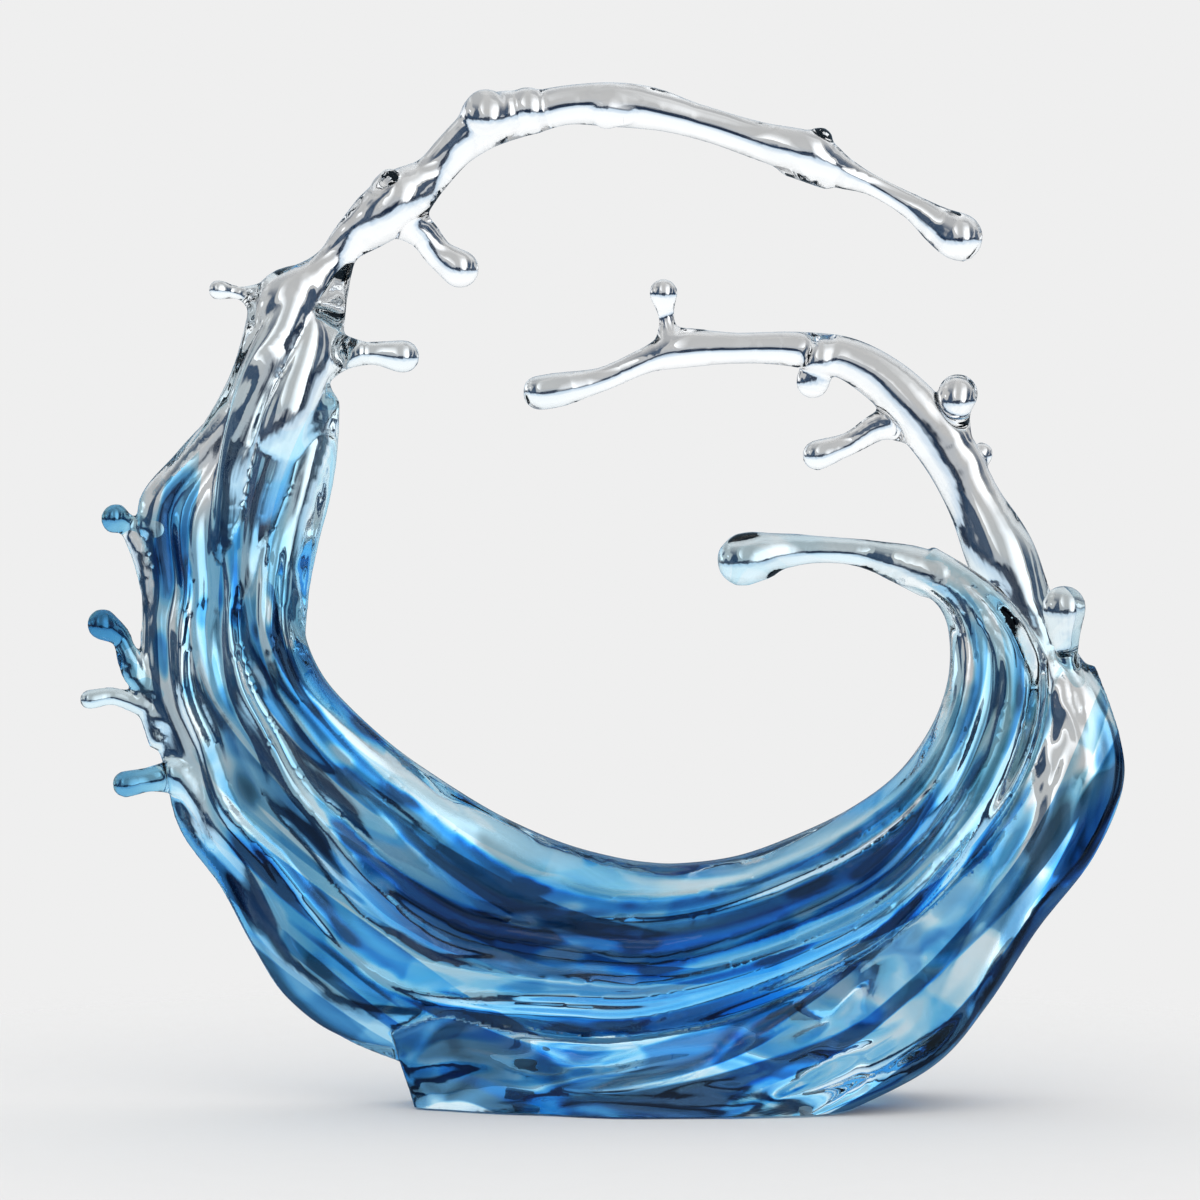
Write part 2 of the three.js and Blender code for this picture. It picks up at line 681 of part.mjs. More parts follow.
// One named mesh in its own resin
function piece(name, solid, color, roughness) {
  const { vertProperties, triVerts } = solid.getMesh();
  const geometry = new THREE.BufferGeometry();
  geometry.setAttribute('position', new THREE.BufferAttribute(vertProperties, 3));
  geometry.setIndex(new THREE.BufferAttribute(triVerts, 1));
  geometry.computeVertexNormals();
  const mesh = new THREE.Mesh(geometry, new THREE.MeshStandardMaterial({ color, roughness, metalness: 0 }));
  mesh.name = name;
  return mesh;
}

function resinPiece(name, solid, color) {
  return piece(name, solid, color, RESIN_ROUGHNESS);
}

// Colour of a droplet, by the casting that it stands on
const DROPLET_COLORS = {
  crest_arm: CLEAR_RESIN,
  crest_knuckle: CLEAR_RESIN,
  crest_tendril: CLEAR_RESIN,
  right_arm_root: CLEAR_RESIN,
  right_arm_span: CLEAR_RESIN,
  right_shell: CLEAR_RESIN,
  wave_wall: PALE_RESIN,
};

const sculpture = new THREE.Group();
sculpture.add(
  resinPiece('foot_block', footBlock(), DEEP_RESIN),
  resinPiece('right_shell', rightShell(), BLUE_RESIN),
  resinPiece('wave_wall', waveWall(), BLUE_RESIN),
  resinPiece('crest_arm', crestArm(), CLEAR_RESIN),
  resinPiece('crest_knuckle', crestKnuckle(), CLEAR_RESIN),
  resinPiece('crest_tendril', crestTendril(), CLEAR_RESIN),
  resinPiece('right_arm_root', rightArmRoot(), CLEAR_RESIN),
  resinPiece('right_arm_span', rightArmSpan(), CLEAR_RESIN),
  resinPiece('lip_tendril', lipTendril(), CLEAR_RESIN),
);
droplets.forEach(({ name, host, solid }) => {
  sculpture.add(resinPiece(name, solid, DROPLET_COLORS[host]));
});
padPlaces().forEach((at, index) => {
  sculpture.add(piece(`base_pad_${index + 1}`, pad(at), PAD_SILICONE, PAD_ROUGHNESS));
});

// The origin is under the middle of the sculpture, on the table
const box = new THREE.Box3().setFromObject(sculpture);
const middleOfBox = box.getCenter(new THREE.Vector3());
sculpture.position.set(-middleOfBox.x, -middleOfBox.y, -box.min.z);

export default sculpture;
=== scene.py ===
"""Resin wave sculpture, dressed for rendering.

The wave is made as the real one looks: strands and sheets of clear resin that have flowed
together. Every form is set out on the front picture, run together into one skin, and then
parted along the bonded joints, so that each casting is a closed piece of its own. The joint
faces carry the clear adhesive, which doesn't bend light.
"""

import json  # noqa: E402
import logging  # noqa: E402
import math  # noqa: E402
from dataclasses import dataclass, field  # noqa: E402
from enum import Enum  # noqa: E402

import bmesh  # noqa: E402
import bpy  # noqa: E402
import numpy as np  # noqa: E402
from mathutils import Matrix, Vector  # noqa: E402

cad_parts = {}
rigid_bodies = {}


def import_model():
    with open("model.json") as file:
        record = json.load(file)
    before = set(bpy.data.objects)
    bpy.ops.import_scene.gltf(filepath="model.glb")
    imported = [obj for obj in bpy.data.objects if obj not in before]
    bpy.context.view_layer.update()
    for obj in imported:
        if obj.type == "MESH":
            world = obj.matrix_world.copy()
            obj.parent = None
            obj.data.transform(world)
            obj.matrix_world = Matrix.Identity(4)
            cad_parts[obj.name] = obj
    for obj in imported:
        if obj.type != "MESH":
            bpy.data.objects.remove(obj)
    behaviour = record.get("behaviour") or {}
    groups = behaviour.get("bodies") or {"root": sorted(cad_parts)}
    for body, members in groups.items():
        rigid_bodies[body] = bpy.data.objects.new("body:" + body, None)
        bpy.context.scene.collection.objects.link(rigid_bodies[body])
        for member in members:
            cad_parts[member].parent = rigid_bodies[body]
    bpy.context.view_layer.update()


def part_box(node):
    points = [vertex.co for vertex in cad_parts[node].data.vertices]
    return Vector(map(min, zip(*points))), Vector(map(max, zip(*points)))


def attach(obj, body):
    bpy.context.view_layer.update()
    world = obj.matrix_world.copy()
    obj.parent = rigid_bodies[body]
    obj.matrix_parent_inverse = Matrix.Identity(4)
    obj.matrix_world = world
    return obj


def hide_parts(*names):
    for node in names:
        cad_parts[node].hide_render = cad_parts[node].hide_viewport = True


LOG = logging.getLogger("wave")
MM = 0.001
TAU = 2 * math.pi


# Setting out


@dataclass(frozen=True)
class Picture:
    """The front picture that the sculpture is set out on, in pixels, and its real size."""

    side: float = 1200
    left: float = 78
    right: float = 1122
    top: float = 85
    ground: float = 1107
    width: float = 470 * MM
    height: float = 460 * MM
    sway: float = 65 * MM
    shift_x: float = -0.674 * MM
    shift_y: float = -0.048 * MM

    @property
    def pixel(self) -> float:
        """Real width of a pixel."""
        return self.width / (self.right - self.left)

    def place(self, x_px: np.ndarray, y_px: np.ndarray, depth: np.ndarray) -> np.ndarray:
        """Turns picture pixels and depth shares into points.

        Args:
            x_px: pixels to the right.
            y_px: pixels down.
            depth: shares of the sway, towards the back.

        Returns:
            Points in metres, one row each.
        """
        middle = (self.left + self.right) / 2
        x = (np.asarray(x_px, float) - middle) / (self.right - self.left) * self.width
        z = (self.ground - np.asarray(y_px, float)) / (self.ground - self.top) * self.height
        y = np.asarray(depth, float) * self.sway + self.shift_y
        return np.stack([x + self.shift_x, y + 0 * x, z], axis=-1)

    def route(self, rows: tuple) -> np.ndarray:
        """Points of table rows that begin with x pixel, y pixel and depth share."""
        return self.place(*np.array(rows, float)[:, :3].T)


PICTURE = Picture()


def hermite(t: np.ndarray, start: np.ndarray, end: np.ndarray, leave: np.ndarray,
            arrive: np.ndarray) -> np.ndarray:
    """Cubic curve between two points.

    Args:
        t: shares of the way, as a column.
        start: first point.
        end: last point.
        leave: slope at the first.
        arrive: slope at the last.

    Returns:
        A point for each share.
    """
    cube = (2 * t**3 - 3 * t**2 + 1) * start + (t**3 - 2 * t**2 + t) * leave
    return cube + (3 * t**2 - 2 * t**3) * end + (t**3 - t**2) * arrive


def smooth_rows(rows: np.ndarray, shares: np.ndarray) -> np.ndarray:
    """Smooth curve through every row of a table.

    Args:
        rows: table with one set-out row a line.
        shares: where to read it, from 0 to 1.

    Returns:
        One row for each share.
    """
    count = len(rows)
    position = np.clip(shares, 0, 1) * (count - 1)
    index = np.minimum(position.astype(int), count - 2)
    start, end = rows[index], rows[index + 1]
    before = rows[np.maximum(index - 1, 0)]
    after = rows[np.minimum(index + 2, count - 1)]
    return hermite((position - index)[:, None], start, end, (end - before) / 2, (after - start) / 2)


def chord_route(points: np.ndarray, extras: np.ndarray, fine: int = 24) -> tuple[np.ndarray, np.ndarray]:
    """Even centripetal curve through points, without loops at uneven spacing.

    Args:
        points: points that the curve passes.
        extras: columns blended along it, such as radii.
        fine: samples for each stretch between two points.

    Returns:
        The fine points of the curve, and the extra columns at them.
    """
    ends = np.vstack([2 * points[0] - points[1], points, 2 * points[-1] - points[-2]])
    t = np.linspace(0, 1, fine, endpoint=False)[:, None]
    curve, turns = [], []
    for index in range(len(points) - 1):
        p0, p1, p2, p3 = ends[index : index + 4]
        d0, d1, d2 = (max(np.linalg.norm(b - a) ** 0.5, 1e-6) for a, b in ((p0, p1), (p1, p2), (p2, p3)))
        leave = ((p1 - p0) / d0 - (p2 - p0) / (d0 + d1) + (p2 - p1) / d1) * d1
        arrive = ((p2 - p1) / d1 - (p3 - p1) / (d1 + d2) + (p3 - p2) / d2) * d1
        curve.append(hermite(t, p1, p2, leave, arrive))
        turns.append(index + t[:, 0])
    curve.append(points[-1:])
    turns.append(np.array([len(points) - 1.0]))
    return np.vstack(curve), smooth_rows(extras, np.concatenate(turns) / (len(points) - 1))


@dataclass
class Waviness:
    """Gentle seeded unevenness of poured resin: a few crossing sine swells.

    Attributes:
        seed: fixes the swells.
        along: swell length along the flow, in metres.
        across: swell length across the flow, in metres.
        height: size of the swells, in metres.
        swells: how many are added up.
    """

    seed: int
    along: float = 60 * MM
    across: float = 30 * MM
    height: float = 0.45 * MM
    swells: int = 6

    def at(self, u: np.ndarray, v: np.ndarray) -> np.ndarray:
        """Height of the surface.

        Args:
            u: flow coordinate along.
            v: flow coordinate across.

        Returns:
            Height at every point, in metres.
        """
        rng = np.random.default_rng(self.seed)
        total = np.zeros(np.broadcast(u, v).shape)
        for _ in range(self.swells):
            fu, fv = rng.uniform(-1.3, 1.3) / self.along, rng.uniform(0.6, 1.5) / self.across
            total = total + rng.uniform(0.5, 1) * np.sin(TAU * (fu * u + fv * v) + rng.uniform(0, TAU))
        return self.height * total / math.sqrt(self.swells)


# Tables. Arms: rows of x pixel, y pixel, depth share, radius share and flatness share. Wall and
# shell: inner edge x and y, outer edge x and y, depth shares and half-thickness shares of both.

CREST = [
    [280, 409, 0.0, 1.98, 0.5], [280, 385, 0.0, 1.75, 0.54], [291, 340, 0.0, 1.55, 0.62],
    [292, 306, -0.02, 1.36, 0.75], [316, 282, -0.03, 0.86, 0.95], [334, 262, -0.05, 0.6, 1],
    [351, 241, -0.06, 0.66, 1], [378, 219, -0.08, 0.96, 1], [407, 196, -0.1, 1.0, 1],
    [432, 176, -0.12, 0.68, 1], [452, 154, -0.14, 0.66, 1], [471, 137, -0.17, 0.78, 1],
    [496, 120, -0.2, 0.88, 1], [533, 114, -0.24, 0.72, 1], [565, 107, -0.26, 0.68, 1],
    [605, 106, -0.28, 0.74, 1], [650, 110, -0.3, 0.7, 1], [700, 124, -0.32, 0.6, 1],
    [755, 141, -0.34, 0.64, 1], [808, 158, -0.36, 0.84, 1], [840, 174, -0.37, 0.56, 1],
    [870, 187, -0.38, 0.36, 1], [905, 206, -0.39, 0.42, 1], [935, 226, -0.4, 0.66, 1],
    [954, 237, -0.4, 0.84, 1],
]
RIGHT_ARM = [
    [1062, 716, 0.14, 0.4, 1], [1044, 655, 0.22, 0.8, 1], [1007, 565, 0.27, 1.25, 1],
    [976, 503, 0.24, 1.0, 1], [950, 454, 0.18, 1.02, 1], [920, 416, 0.12, 1.0, 1],
    [885, 381, 0.05, 0.88, 1], [845, 358, 0.0, 0.76, 1], [800, 350, -0.04, 0.64, 1],
    [740, 348, -0.08, 0.58, 1], [680, 349, -0.12, 0.66, 1], [642, 361, -0.14, 0.46, 1],
    [602, 378, -0.16, 0.44, 1], [562, 388, -0.18, 0.6, 1], [541, 392, -0.18, 0.62, 1],
]
LIP_TENDRIL = [
    [930, 573, -0.18, 1.95, 1], [897, 561, -0.23, 1.65, 1], [860, 551, -0.28, 1.15, 1],
    [820, 547, -0.32, 1.15, 1], [785, 548, -0.36, 1.45, 1], [758, 553, -0.39, 2.0, 1],
    [742, 557, -0.4, 2.15, 1],
]
NECK_ROWS = [
    [306, 318, 268, 322, -0.04, 0.02, 0.75, 0.7], [318, 346, 256, 346, -0.04, 0.03, 0.8, 0.66],
    [328, 378, 240, 378, -0.05, 0.05, 0.84, 0.62],
]
WALL = [
    [337, 409, 217, 409, -0.06, 0.06, 0.85, 0.6], [328, 478, 176, 453, -0.14, 0.14, 0.9, 0.45],
    [313, 540, 136, 506, -0.2, 0.22, 0.95, 0.4], [304, 592, 145, 585, -0.23, 0.25, 1.0, 0.4],
    [307, 634, 138, 636, -0.23, 0.26, 1.0, 0.4], [324, 673, 140, 702, -0.23, 0.26, 1.0, 0.42],
    [352, 706, 159, 758, -0.22, 0.24, 1.0, 0.46], [396, 746, 176, 828, -0.18, 0.2, 1.0, 0.5],
    [444, 780, 218, 886, -0.15, 0.15, 1.0, 0.6], [492, 810, 250, 948, -0.12, 0.12, 1.0, 0.7],
    [532, 830, 286, 1002, -0.09, 0.08, 1.0, 0.8], [566, 844, 346, 1042, -0.06, 0.05, 1.0, 0.95],
    [600, 854, 440, 1056, -0.05, 0.0, 1.0, 1.15], [640, 862, 530, 1060, -0.04, 0.0, 1.0, 1.3],
    [682, 864, 622, 1062, -0.03, 0.0, 1.0, 1.35], [740, 856, 722, 1038, -0.02, 0.0, 1.0, 1.35],
    [800, 834, 814, 1004, -0.02, 0.0, 1.0, 1.3], [852, 808, 896, 960, -0.03, 0.02, 1.0, 1.2],
    [897, 774, 958, 896, -0.05, 0.04, 0.95, 1.05], [930, 728, 1008, 824, -0.08, 0.06, 0.9, 0.9],
    [947, 680, 1042, 748, -0.12, 0.06, 0.85, 0.8], [948, 634, 1050, 672, -0.15, 0.05, 0.8, 0.7],
    [938, 606, 1026, 622, -0.18, 0.0, 0.75, 0.65], [916, 588, 988, 580, -0.2, -0.08, 0.65, 0.6],
    [897, 582, 932, 545, -0.23, -0.18, 0.55, 0.55],
]
SHELL = [
    [386, 1016, 424, 1134, -0.03, -0.04, 0.22, 0.26], [446, 1002, 470, 1134, -0.03, -0.05, 0.34, 0.46],
    [520, 1024, 532, 1132, -0.02, -0.04, 0.4, 0.7], [600, 1034, 606, 1132, 0.0, -0.02, 0.4, 0.95],
    [680, 1024, 694, 1132, 0.0, 0.0, 0.4, 1.0], [756, 1000, 790, 1128, 0.0, 0.02, 0.38, 0.96],
    [828, 964, 878, 1096, 0.0, 0.04, 0.36, 0.84], [884, 922, 942, 1060, 0.02, 0.06, 0.32, 0.64],
    [932, 876, 990, 1006, 0.05, 0.1, 0.28, 0.46], [976, 820, 1040, 932, 0.08, 0.14, 0.24, 0.34],
    [1006, 762, 1097, 858, 0.1, 0.16, 0.2, 0.26], [1026, 706, 1127, 778, 0.1, 0.16, 0.19, 0.2],
    [1040, 668, 1109, 704, 0.1, 0.16, 0.17, 0.16], [1058, 647, 1076, 649, 0.1, 0.14, 0.05, 0.05],
]
# Strands that run down the front of the wall from the neck, the beads and collars of the arms,
# the webs between the left droplets and the rolled rims: the tint of each, then rows of x pixel,
# y pixel, depth share and radius in millimetres
FOLDS = (
    (-0.15, ((360, 234, -0.07, 5), (344, 258, -0.07, 6), (334, 294, -0.1, 7), (326, 332, -0.16, 8.4),
     (312, 368, -0.23, 9.4), (292, 410, -0.25, 9.6), (276, 460, -0.24, 9), (264, 520, -0.21, 8.4),
     (256, 590, -0.17, 7), (256, 660, -0.04, 4))),
    (0.05, ((322, 272, -0.04, 6), (302, 296, -0.1, 7), (284, 332, -0.19, 8.4), (264, 375, -0.2, 9),
     (248, 425, -0.19, 9), (237, 480, -0.17, 8.6), (228, 540, -0.12, 7), (222, 600, 0.02, 4))),
    (-0.1, ((262, 300, -0.06, 5), (256, 342, -0.1, 6), (241, 382, -0.08, 5.4), (212, 428, 0.0, 4.2),
     (184, 462, 0.07, 3.6), (158, 492, 0.13, 3))),
    (0.1, ((360, 353, -0.11, 6), (338, 351, -0.17, 8), (316, 362, -0.2, 8.4), (300, 392, -0.2, 8),
     (294, 430, -0.17, 7))),
    (0.0, ((528, 112, -0.23, 10.4), (532, 113, -0.24, 10.4))),
    (0.0, ((398, 190, -0.1, 9), (410, 186, -0.12, 9))),
    (0.0, ((806, 148, -0.36, 8), (817, 142, -0.36, 6))),
    (0.0, ((790, 160, -0.36, 8), (824, 172, -0.36, 8))),
    (0.0, ((682, 341, -0.12, 6.4), (700, 342, -0.11, 6))),
    (-0.3, ((128, 532, 0.17, 3.8), (139, 556, 0.2, 4.4), (147, 590, 0.22, 4), (150, 624, 0.24, 3))),
    (-0.3, ((122, 648, 0.18, 4.4), (134, 672, 0.22, 5), (142, 704, 0.23, 4.6), (154, 744, 0.22, 4))),
    (-0.25, ((150, 780, 0.12, 5.4), (178, 778, 0.15, 7), (200, 800, 0.13, 7), (214, 842, 0.12, 5))),
    (-0.3, ((146, 560, 0.24, 2.6), (146, 620, 0.26, 3.2), (148, 700, 0.25, 3.4), (166, 760, 0.23, 3.6))),
    (0.02, ((168, 766, 0.23, 3.6), (184, 828, 0.2, 3.8), (226, 886, 0.15, 4), (258, 944, 0.12, 4.2),
     (294, 996, 0.08, 4.4), (350, 1034, 0.05, 4.6), (410, 1058, 0.0, 4.6))),
    (0.12, ((1092, 672, 0.14, 3), (1104, 712, 0.16, 4.4), (1114, 752, 0.16, 4.8), (1108, 796, 0.16, 5),
     (1088, 846, 0.15, 5), (1050, 898, 0.14, 5), (1002, 964, 0.12, 5), (960, 1024, 0.1, 5.4),
     (900, 1074, 0.06, 5))),
    (-0.45, ((1052, 690, 0.04, 4), (1062, 730, 0.02, 4.6), (1064, 778, 0.02, 4.4), (1052, 824, 0.03, 3))),
    (-0.4, ((1082, 712, 0.05, 3), (1096, 752, 0.05, 4.2), (1090, 800, 0.05, 4), (1072, 846, 0.05, 2.6))),
    (-0.1, ((1012, 700, -0.14, 2.4), (1030, 668, -0.12, 3.6), (1022, 636, -0.12, 4),
     (1000, 606, -0.12, 4.2), (966, 582, -0.16, 4.2), (934, 566, -0.2, 4))),
)
# Right side of the neck, where the forms cross and the skin is evened out
NECK_SIDE = ((322, 276, -0.05), (326, 302, -0.06), (328, 330, -0.08), (326, 366, -0.1))


@dataclass(frozen=True)
class DropletForm:
    """A droplet or branch on its own stem.

    Attributes:
        name: name of its node.
        path: rows of x pixel, y pixel and depth share, from the root to the tip.
        radii: radius at each row, in millimetres.
        flare: how much wider the stem is where it leaves its carrier.
        clear_root: dye taken off at the root of the stems on the left, which are blue at the tip.
    """

    name: str
    path: tuple[tuple[float, float, float], ...]
    radii: tuple[float, ...]
    flare: float = 0.6
    clear_root: float = 0.26

    def stem(self, grow: float = 0) -> "Strand":
        """Strand of the droplet, its root wider where it leaves the carrier.

        Args:
            grow: added to the radius, for a cutter.

        Returns:
            The strand.
        """
        radii = np.array(self.radii) * MM
        radii[0] *= 1 + self.flare
        root_tint = -self.clear_root if self.name.startswith("left") else 0
        return Strand(PICTURE.route(self.path), radii + grow, np.ones(len(radii)), pitch=1.0 * MM, sides=28,
                      root_tint=root_tint)

    def creases(self) -> list:
        """Points where its skin is softened, each with a radius: the root, or all of a feather."""
        points = PICTURE.route(self.path)
        rows = [[*(points[0] + points[1]) / 2, self.radii[0] * MM]]
        return rows + [[*point, radius * MM] for point, radius in zip(points, self.radii) if not self.flare]


DROPLETS = (
    DropletForm("neck_droplet_left", ((264, 300, 0), (240, 293, -0.02), (220, 290, -0.04)), (5, 3.2, 4.5)),
    DropletForm("neck_droplet_right", ((312, 362, -0.06), (345, 356, -0.1), (374, 353, -0.12),
     (404, 356, -0.14)), (8, 6.4, 5.2, 7.3)),
    DropletForm("crest_droplet_low", ((401, 217, -0.06), (424, 234, -0.11), (440, 254, -0.15),
     (461, 269, -0.18)), (6, 7.2, 6.6, 8.4)),
    DropletForm("crest_droplet_ring", ((387, 190, -0.17), (392, 182, -0.22)), (4.4, 6.0)),
    DropletForm("crest_knob_upper", ((482, 118, -0.18), (487, 112, -0.33)), (6, 9.6)),
    DropletForm("crest_bead", ((606, 117, -0.38), (626, 119, -0.4)), (4, 4)),
    DropletForm("arm_droplet_up", ((670, 349, -0.12), (666, 318, -0.13), (663, 293, -0.15)),
     (4.6, 3.6, 6.3)),
    DropletForm("arm_droplet_rear", ((822, 352, 0.02), (813, 382, 0.12)), (5, 7.6)),
    DropletForm("arm_droplet_inner", ((918, 425, 0.12), (884, 425, 0.08), (850, 443, 0.02),
     (817, 455, -0.02)), (6, 7, 5.2, 6.7)),
    DropletForm("arm_droplet_outer", ((951, 438, 0.12), (954, 412, 0.05), (957, 394, -0.02)), (6, 7.4, 9)),
    DropletForm("arm_droplet_outer_rear", ((964, 478, 0.24), (984, 456, 0.36)), (5, 5.4)),
    DropletForm("rim_teardrop", ((1078, 694, 0.06), (1070, 662, 0.0), (1064, 632, -0.06),
     (1063, 607, -0.08)), (3, 4, 7.4, 9.9), 0.4),
    DropletForm("left_ball_upper", ((158, 529, 0.16), (146, 527, 0.18), (130, 525, 0.18), (115, 520, 0.16)),
     (3, 4.2, 3.6, 6.8)),
    DropletForm("left_ball_middle", ((172, 696, 0.17), (134, 682, 0.24), (124, 660, 0.18), (120, 640, 0.17),
     (101, 626, 0.16)), (3, 4.6, 4.2, 4.4, 7)),
    DropletForm("left_horn", ((172, 726, 0.19), (136, 708, 0.24), (110, 699, 0.22), (87, 702, 0.2)),
     (3, 4.4, 4, 4.4)),
    DropletForm("left_droplet_lower", ((226, 812, 0.11), (182, 786, 0.16), (150, 782, 0.12),
     (124, 786, 0.1)), (3.4, 6.4, 5.4, 6)),
    DropletForm("inner_feather", ((328, 404, -0.1), (322, 445, -0.17), (313, 490, -0.22), (303, 535, -0.25),
     (297, 580, -0.25), (297, 625, -0.2)), (6, 8, 9, 8.4, 7, 5), 0),
)


# Forms


@dataclass
class Skin:
    """Vertices and faces of a closed form, with flow coordinates at each vertex."""

    points: np.ndarray
    faces: list
    flow: np.ndarray

    def mesh(self, name: str) -> bpy.types.Mesh:
        """Blender mesh of the form, with its flow coordinates as an attribute.

        Args:
            name: name of the mesh.

        Returns:
            The mesh.
        """
        mesh = bpy.data.meshes.new(name)
        mesh.from_pydata(self.points.tolist(), [], self.faces)
        mesh.attributes.new("flow", "FLOAT_VECTOR", "POINT").data.foreach_set("vector", self.flow.ravel())
        mesh.update()
        return mesh


def closed_loft(loops: np.ndarray, flow: np.ndarray, start: np.ndarray, end: np.ndarray) -> Skin:
    """Closed skin through a row of loops.

    Args:
        loops: points, one loop a row, all turning clockwise seen along the row.
        flow: flow coordinates in the same layout.
        start: point that closes the first loop.
        end: point that closes the last loop.

    Returns:
        The closed form.
    """
    rows, sides = loops.shape[:2]
    points = np.vstack([loops.reshape(-1, 3), start, end])
    coords = np.vstack([flow.reshape(-1, 3), flow[0].mean(axis=0), flow[-1].mean(axis=0)])
    grid = np.arange(rows * sides).reshape(rows, sides)
    turned = np.roll(grid, -1, axis=1)
    quads = np.stack([grid[:-1], turned[:-1], turned[1:], grid[1:]], axis=-1).reshape(-1, 4).tolist()
    first, last = rows * sides, rows * sides + 1
    quads += [[first, b, a] for a, b in zip(grid[0], turned[0])]
    quads += [[last, a, b] for a, b in zip(grid[-1], turned[-1])]
    return Skin(points, quads, coords)


CAP_ANGLES = np.linspace(0, math.pi / 2, 7)[1:-1]


@dataclass
class Strand:
    """Round or oval strand of resin along a route.

    Attributes:
        points: set-out points of its middle line.
        radii: radius at each of them.
        flat: share of the radius that it has in depth.
        tint: dye added in it, less where negative.
        wave: unevenness of its skin, if any.
        pitch: distance between its loops.
        sides: points of a loop.
        root_tint: dye added at its root, fading out towards its tip.
    """

    points: np.ndarray
    radii: np.ndarray
    flat: np.ndarray
    tint: float = 0
    wave: Waviness | None = None
    pitch: float = 1.6 * MM
    sides: int = 36
    root_tint: float = 0

    @classmethod
    def of_rows(cls, rows: list, radius: float, seed: int) -> "Strand":
        """Arm from its table.

        Args:
            rows: rows of x, y, depth, radius share and flatness share.
            radius: reference radius.
            seed: fixes its waviness.

        Returns:
            The strand.
        """
        table = np.array(rows, float)
        return cls(PICTURE.route(rows), table[:, 3] * radius, table[:, 4], wave=Waviness(seed))

    def sections(self, start: float, end: float, grow: float) -> np.ndarray:
        """Evenly spaced sections between two length shares.

        Args:
            start: length share where they begin.
            end: length share where they end.
            grow: added to the radius.

        Returns:
            Rows of centre (3), direction (3), radius, flatness and length.
        """
        curve, extras = chord_route(self.points, np.stack([self.radii, self.flat], axis=1))
        run = np.concatenate([[0], np.cumsum(np.linalg.norm(np.diff(curve, axis=0), axis=1))])
        steps = max(4, int(run[-1] * (end - start) / self.pitch))
        at = np.linspace(start, end, steps + 1) * run[-1]
        columns = [np.interp(at, run, column) for column in (*curve.T, *extras.T)]
        middle = np.stack(columns[:3], axis=1)
        tangent = np.gradient(middle, axis=0)
        tangent /= np.linalg.norm(tangent, axis=1)[:, None]
        return np.column_stack([middle, tangent, columns[3] + grow, columns[4], at])

    @staticmethod
    def capped(rows: np.ndarray, end: int) -> np.ndarray:
        """Sections with a round cap put on.

        Args:
            rows: rows of the sections.
            end: 0 for the beginning, -1 for the end.

        Returns:
            Rows with those of the cap.
        """
        row = rows[end]
        out = np.sin(CAP_ANGLES) * row[6] * (1 if end else -1)
        cap = np.repeat(row[None], len(out), 0)
        cap[:, :3] = row[:3] + row[3:6] * out[:, None]
        cap[:, 6] = np.cos(CAP_ANGLES) * row[6]
        cap[:, 8] = row[8] + out
        return np.vstack([rows, cap] if end else [cap[::-1], rows])

    def skin(self, start: float = 0, end: float = 1, grow: float = 0,
             flat_start: bool = False, flat_end: bool = False) -> Skin:
        """Closed form of a stretch of the strand.

        Args:
            start: length share where it begins.
            end: length share where it ends.
            grow: added to the radius, for a cutter.
            flat_start: cut square at the beginning, without a round cap.
            flat_end: cut square at the end.

        Returns:
            The closed form.
        """
        rows = self.sections(start, end, grow)
        rows = rows if flat_start else self.capped(rows, 0)
        rows = rows if flat_end else self.capped(rows, -1)
        first, last = rows[0], rows[-1]
        across = np.array([0, 1.0, 0]) if abs(first[4]) < 0.7 else np.array([0, 0, 1.0])
        turn = np.arange(self.sides) / self.sides * TAU
        loops, flow = [], []
        for row in rows:
            centre, way, (r, f, u) = row[:3], row[3:6], row[6:]
            across = across - way * across.dot(way)
            across = across / np.linalg.norm(across)
            aside = np.cross(across, way)
            reach = (r + self.wave.at(u, r * turn))[:, None] if self.wave else r
            loops.append(centre + reach * (-np.cos(turn)[:, None] * aside + np.sin(turn)[:, None] * across * f))
            tint = self.tint + self.root_tint * np.clip(1.15 - u / last[8] * 1.3, 0, 1)
            flow.append(np.stack([np.full(self.sides, u), r * turn, np.full(self.sides, tint)], axis=1))
        start_tip = 0 if flat_start else first[6] / math.cos(CAP_ANGLES[-1])
        end_tip = 0 if flat_end else last[6] / math.cos(CAP_ANGLES[-1])
        lift = 1 - math.sin(CAP_ANGLES[-1])
        return closed_loft(np.array(loops), np.array(flow), first[:3] - first[3:6] * start_tip * lift,
                           last[:3] + last[3:6] * end_tip * lift)


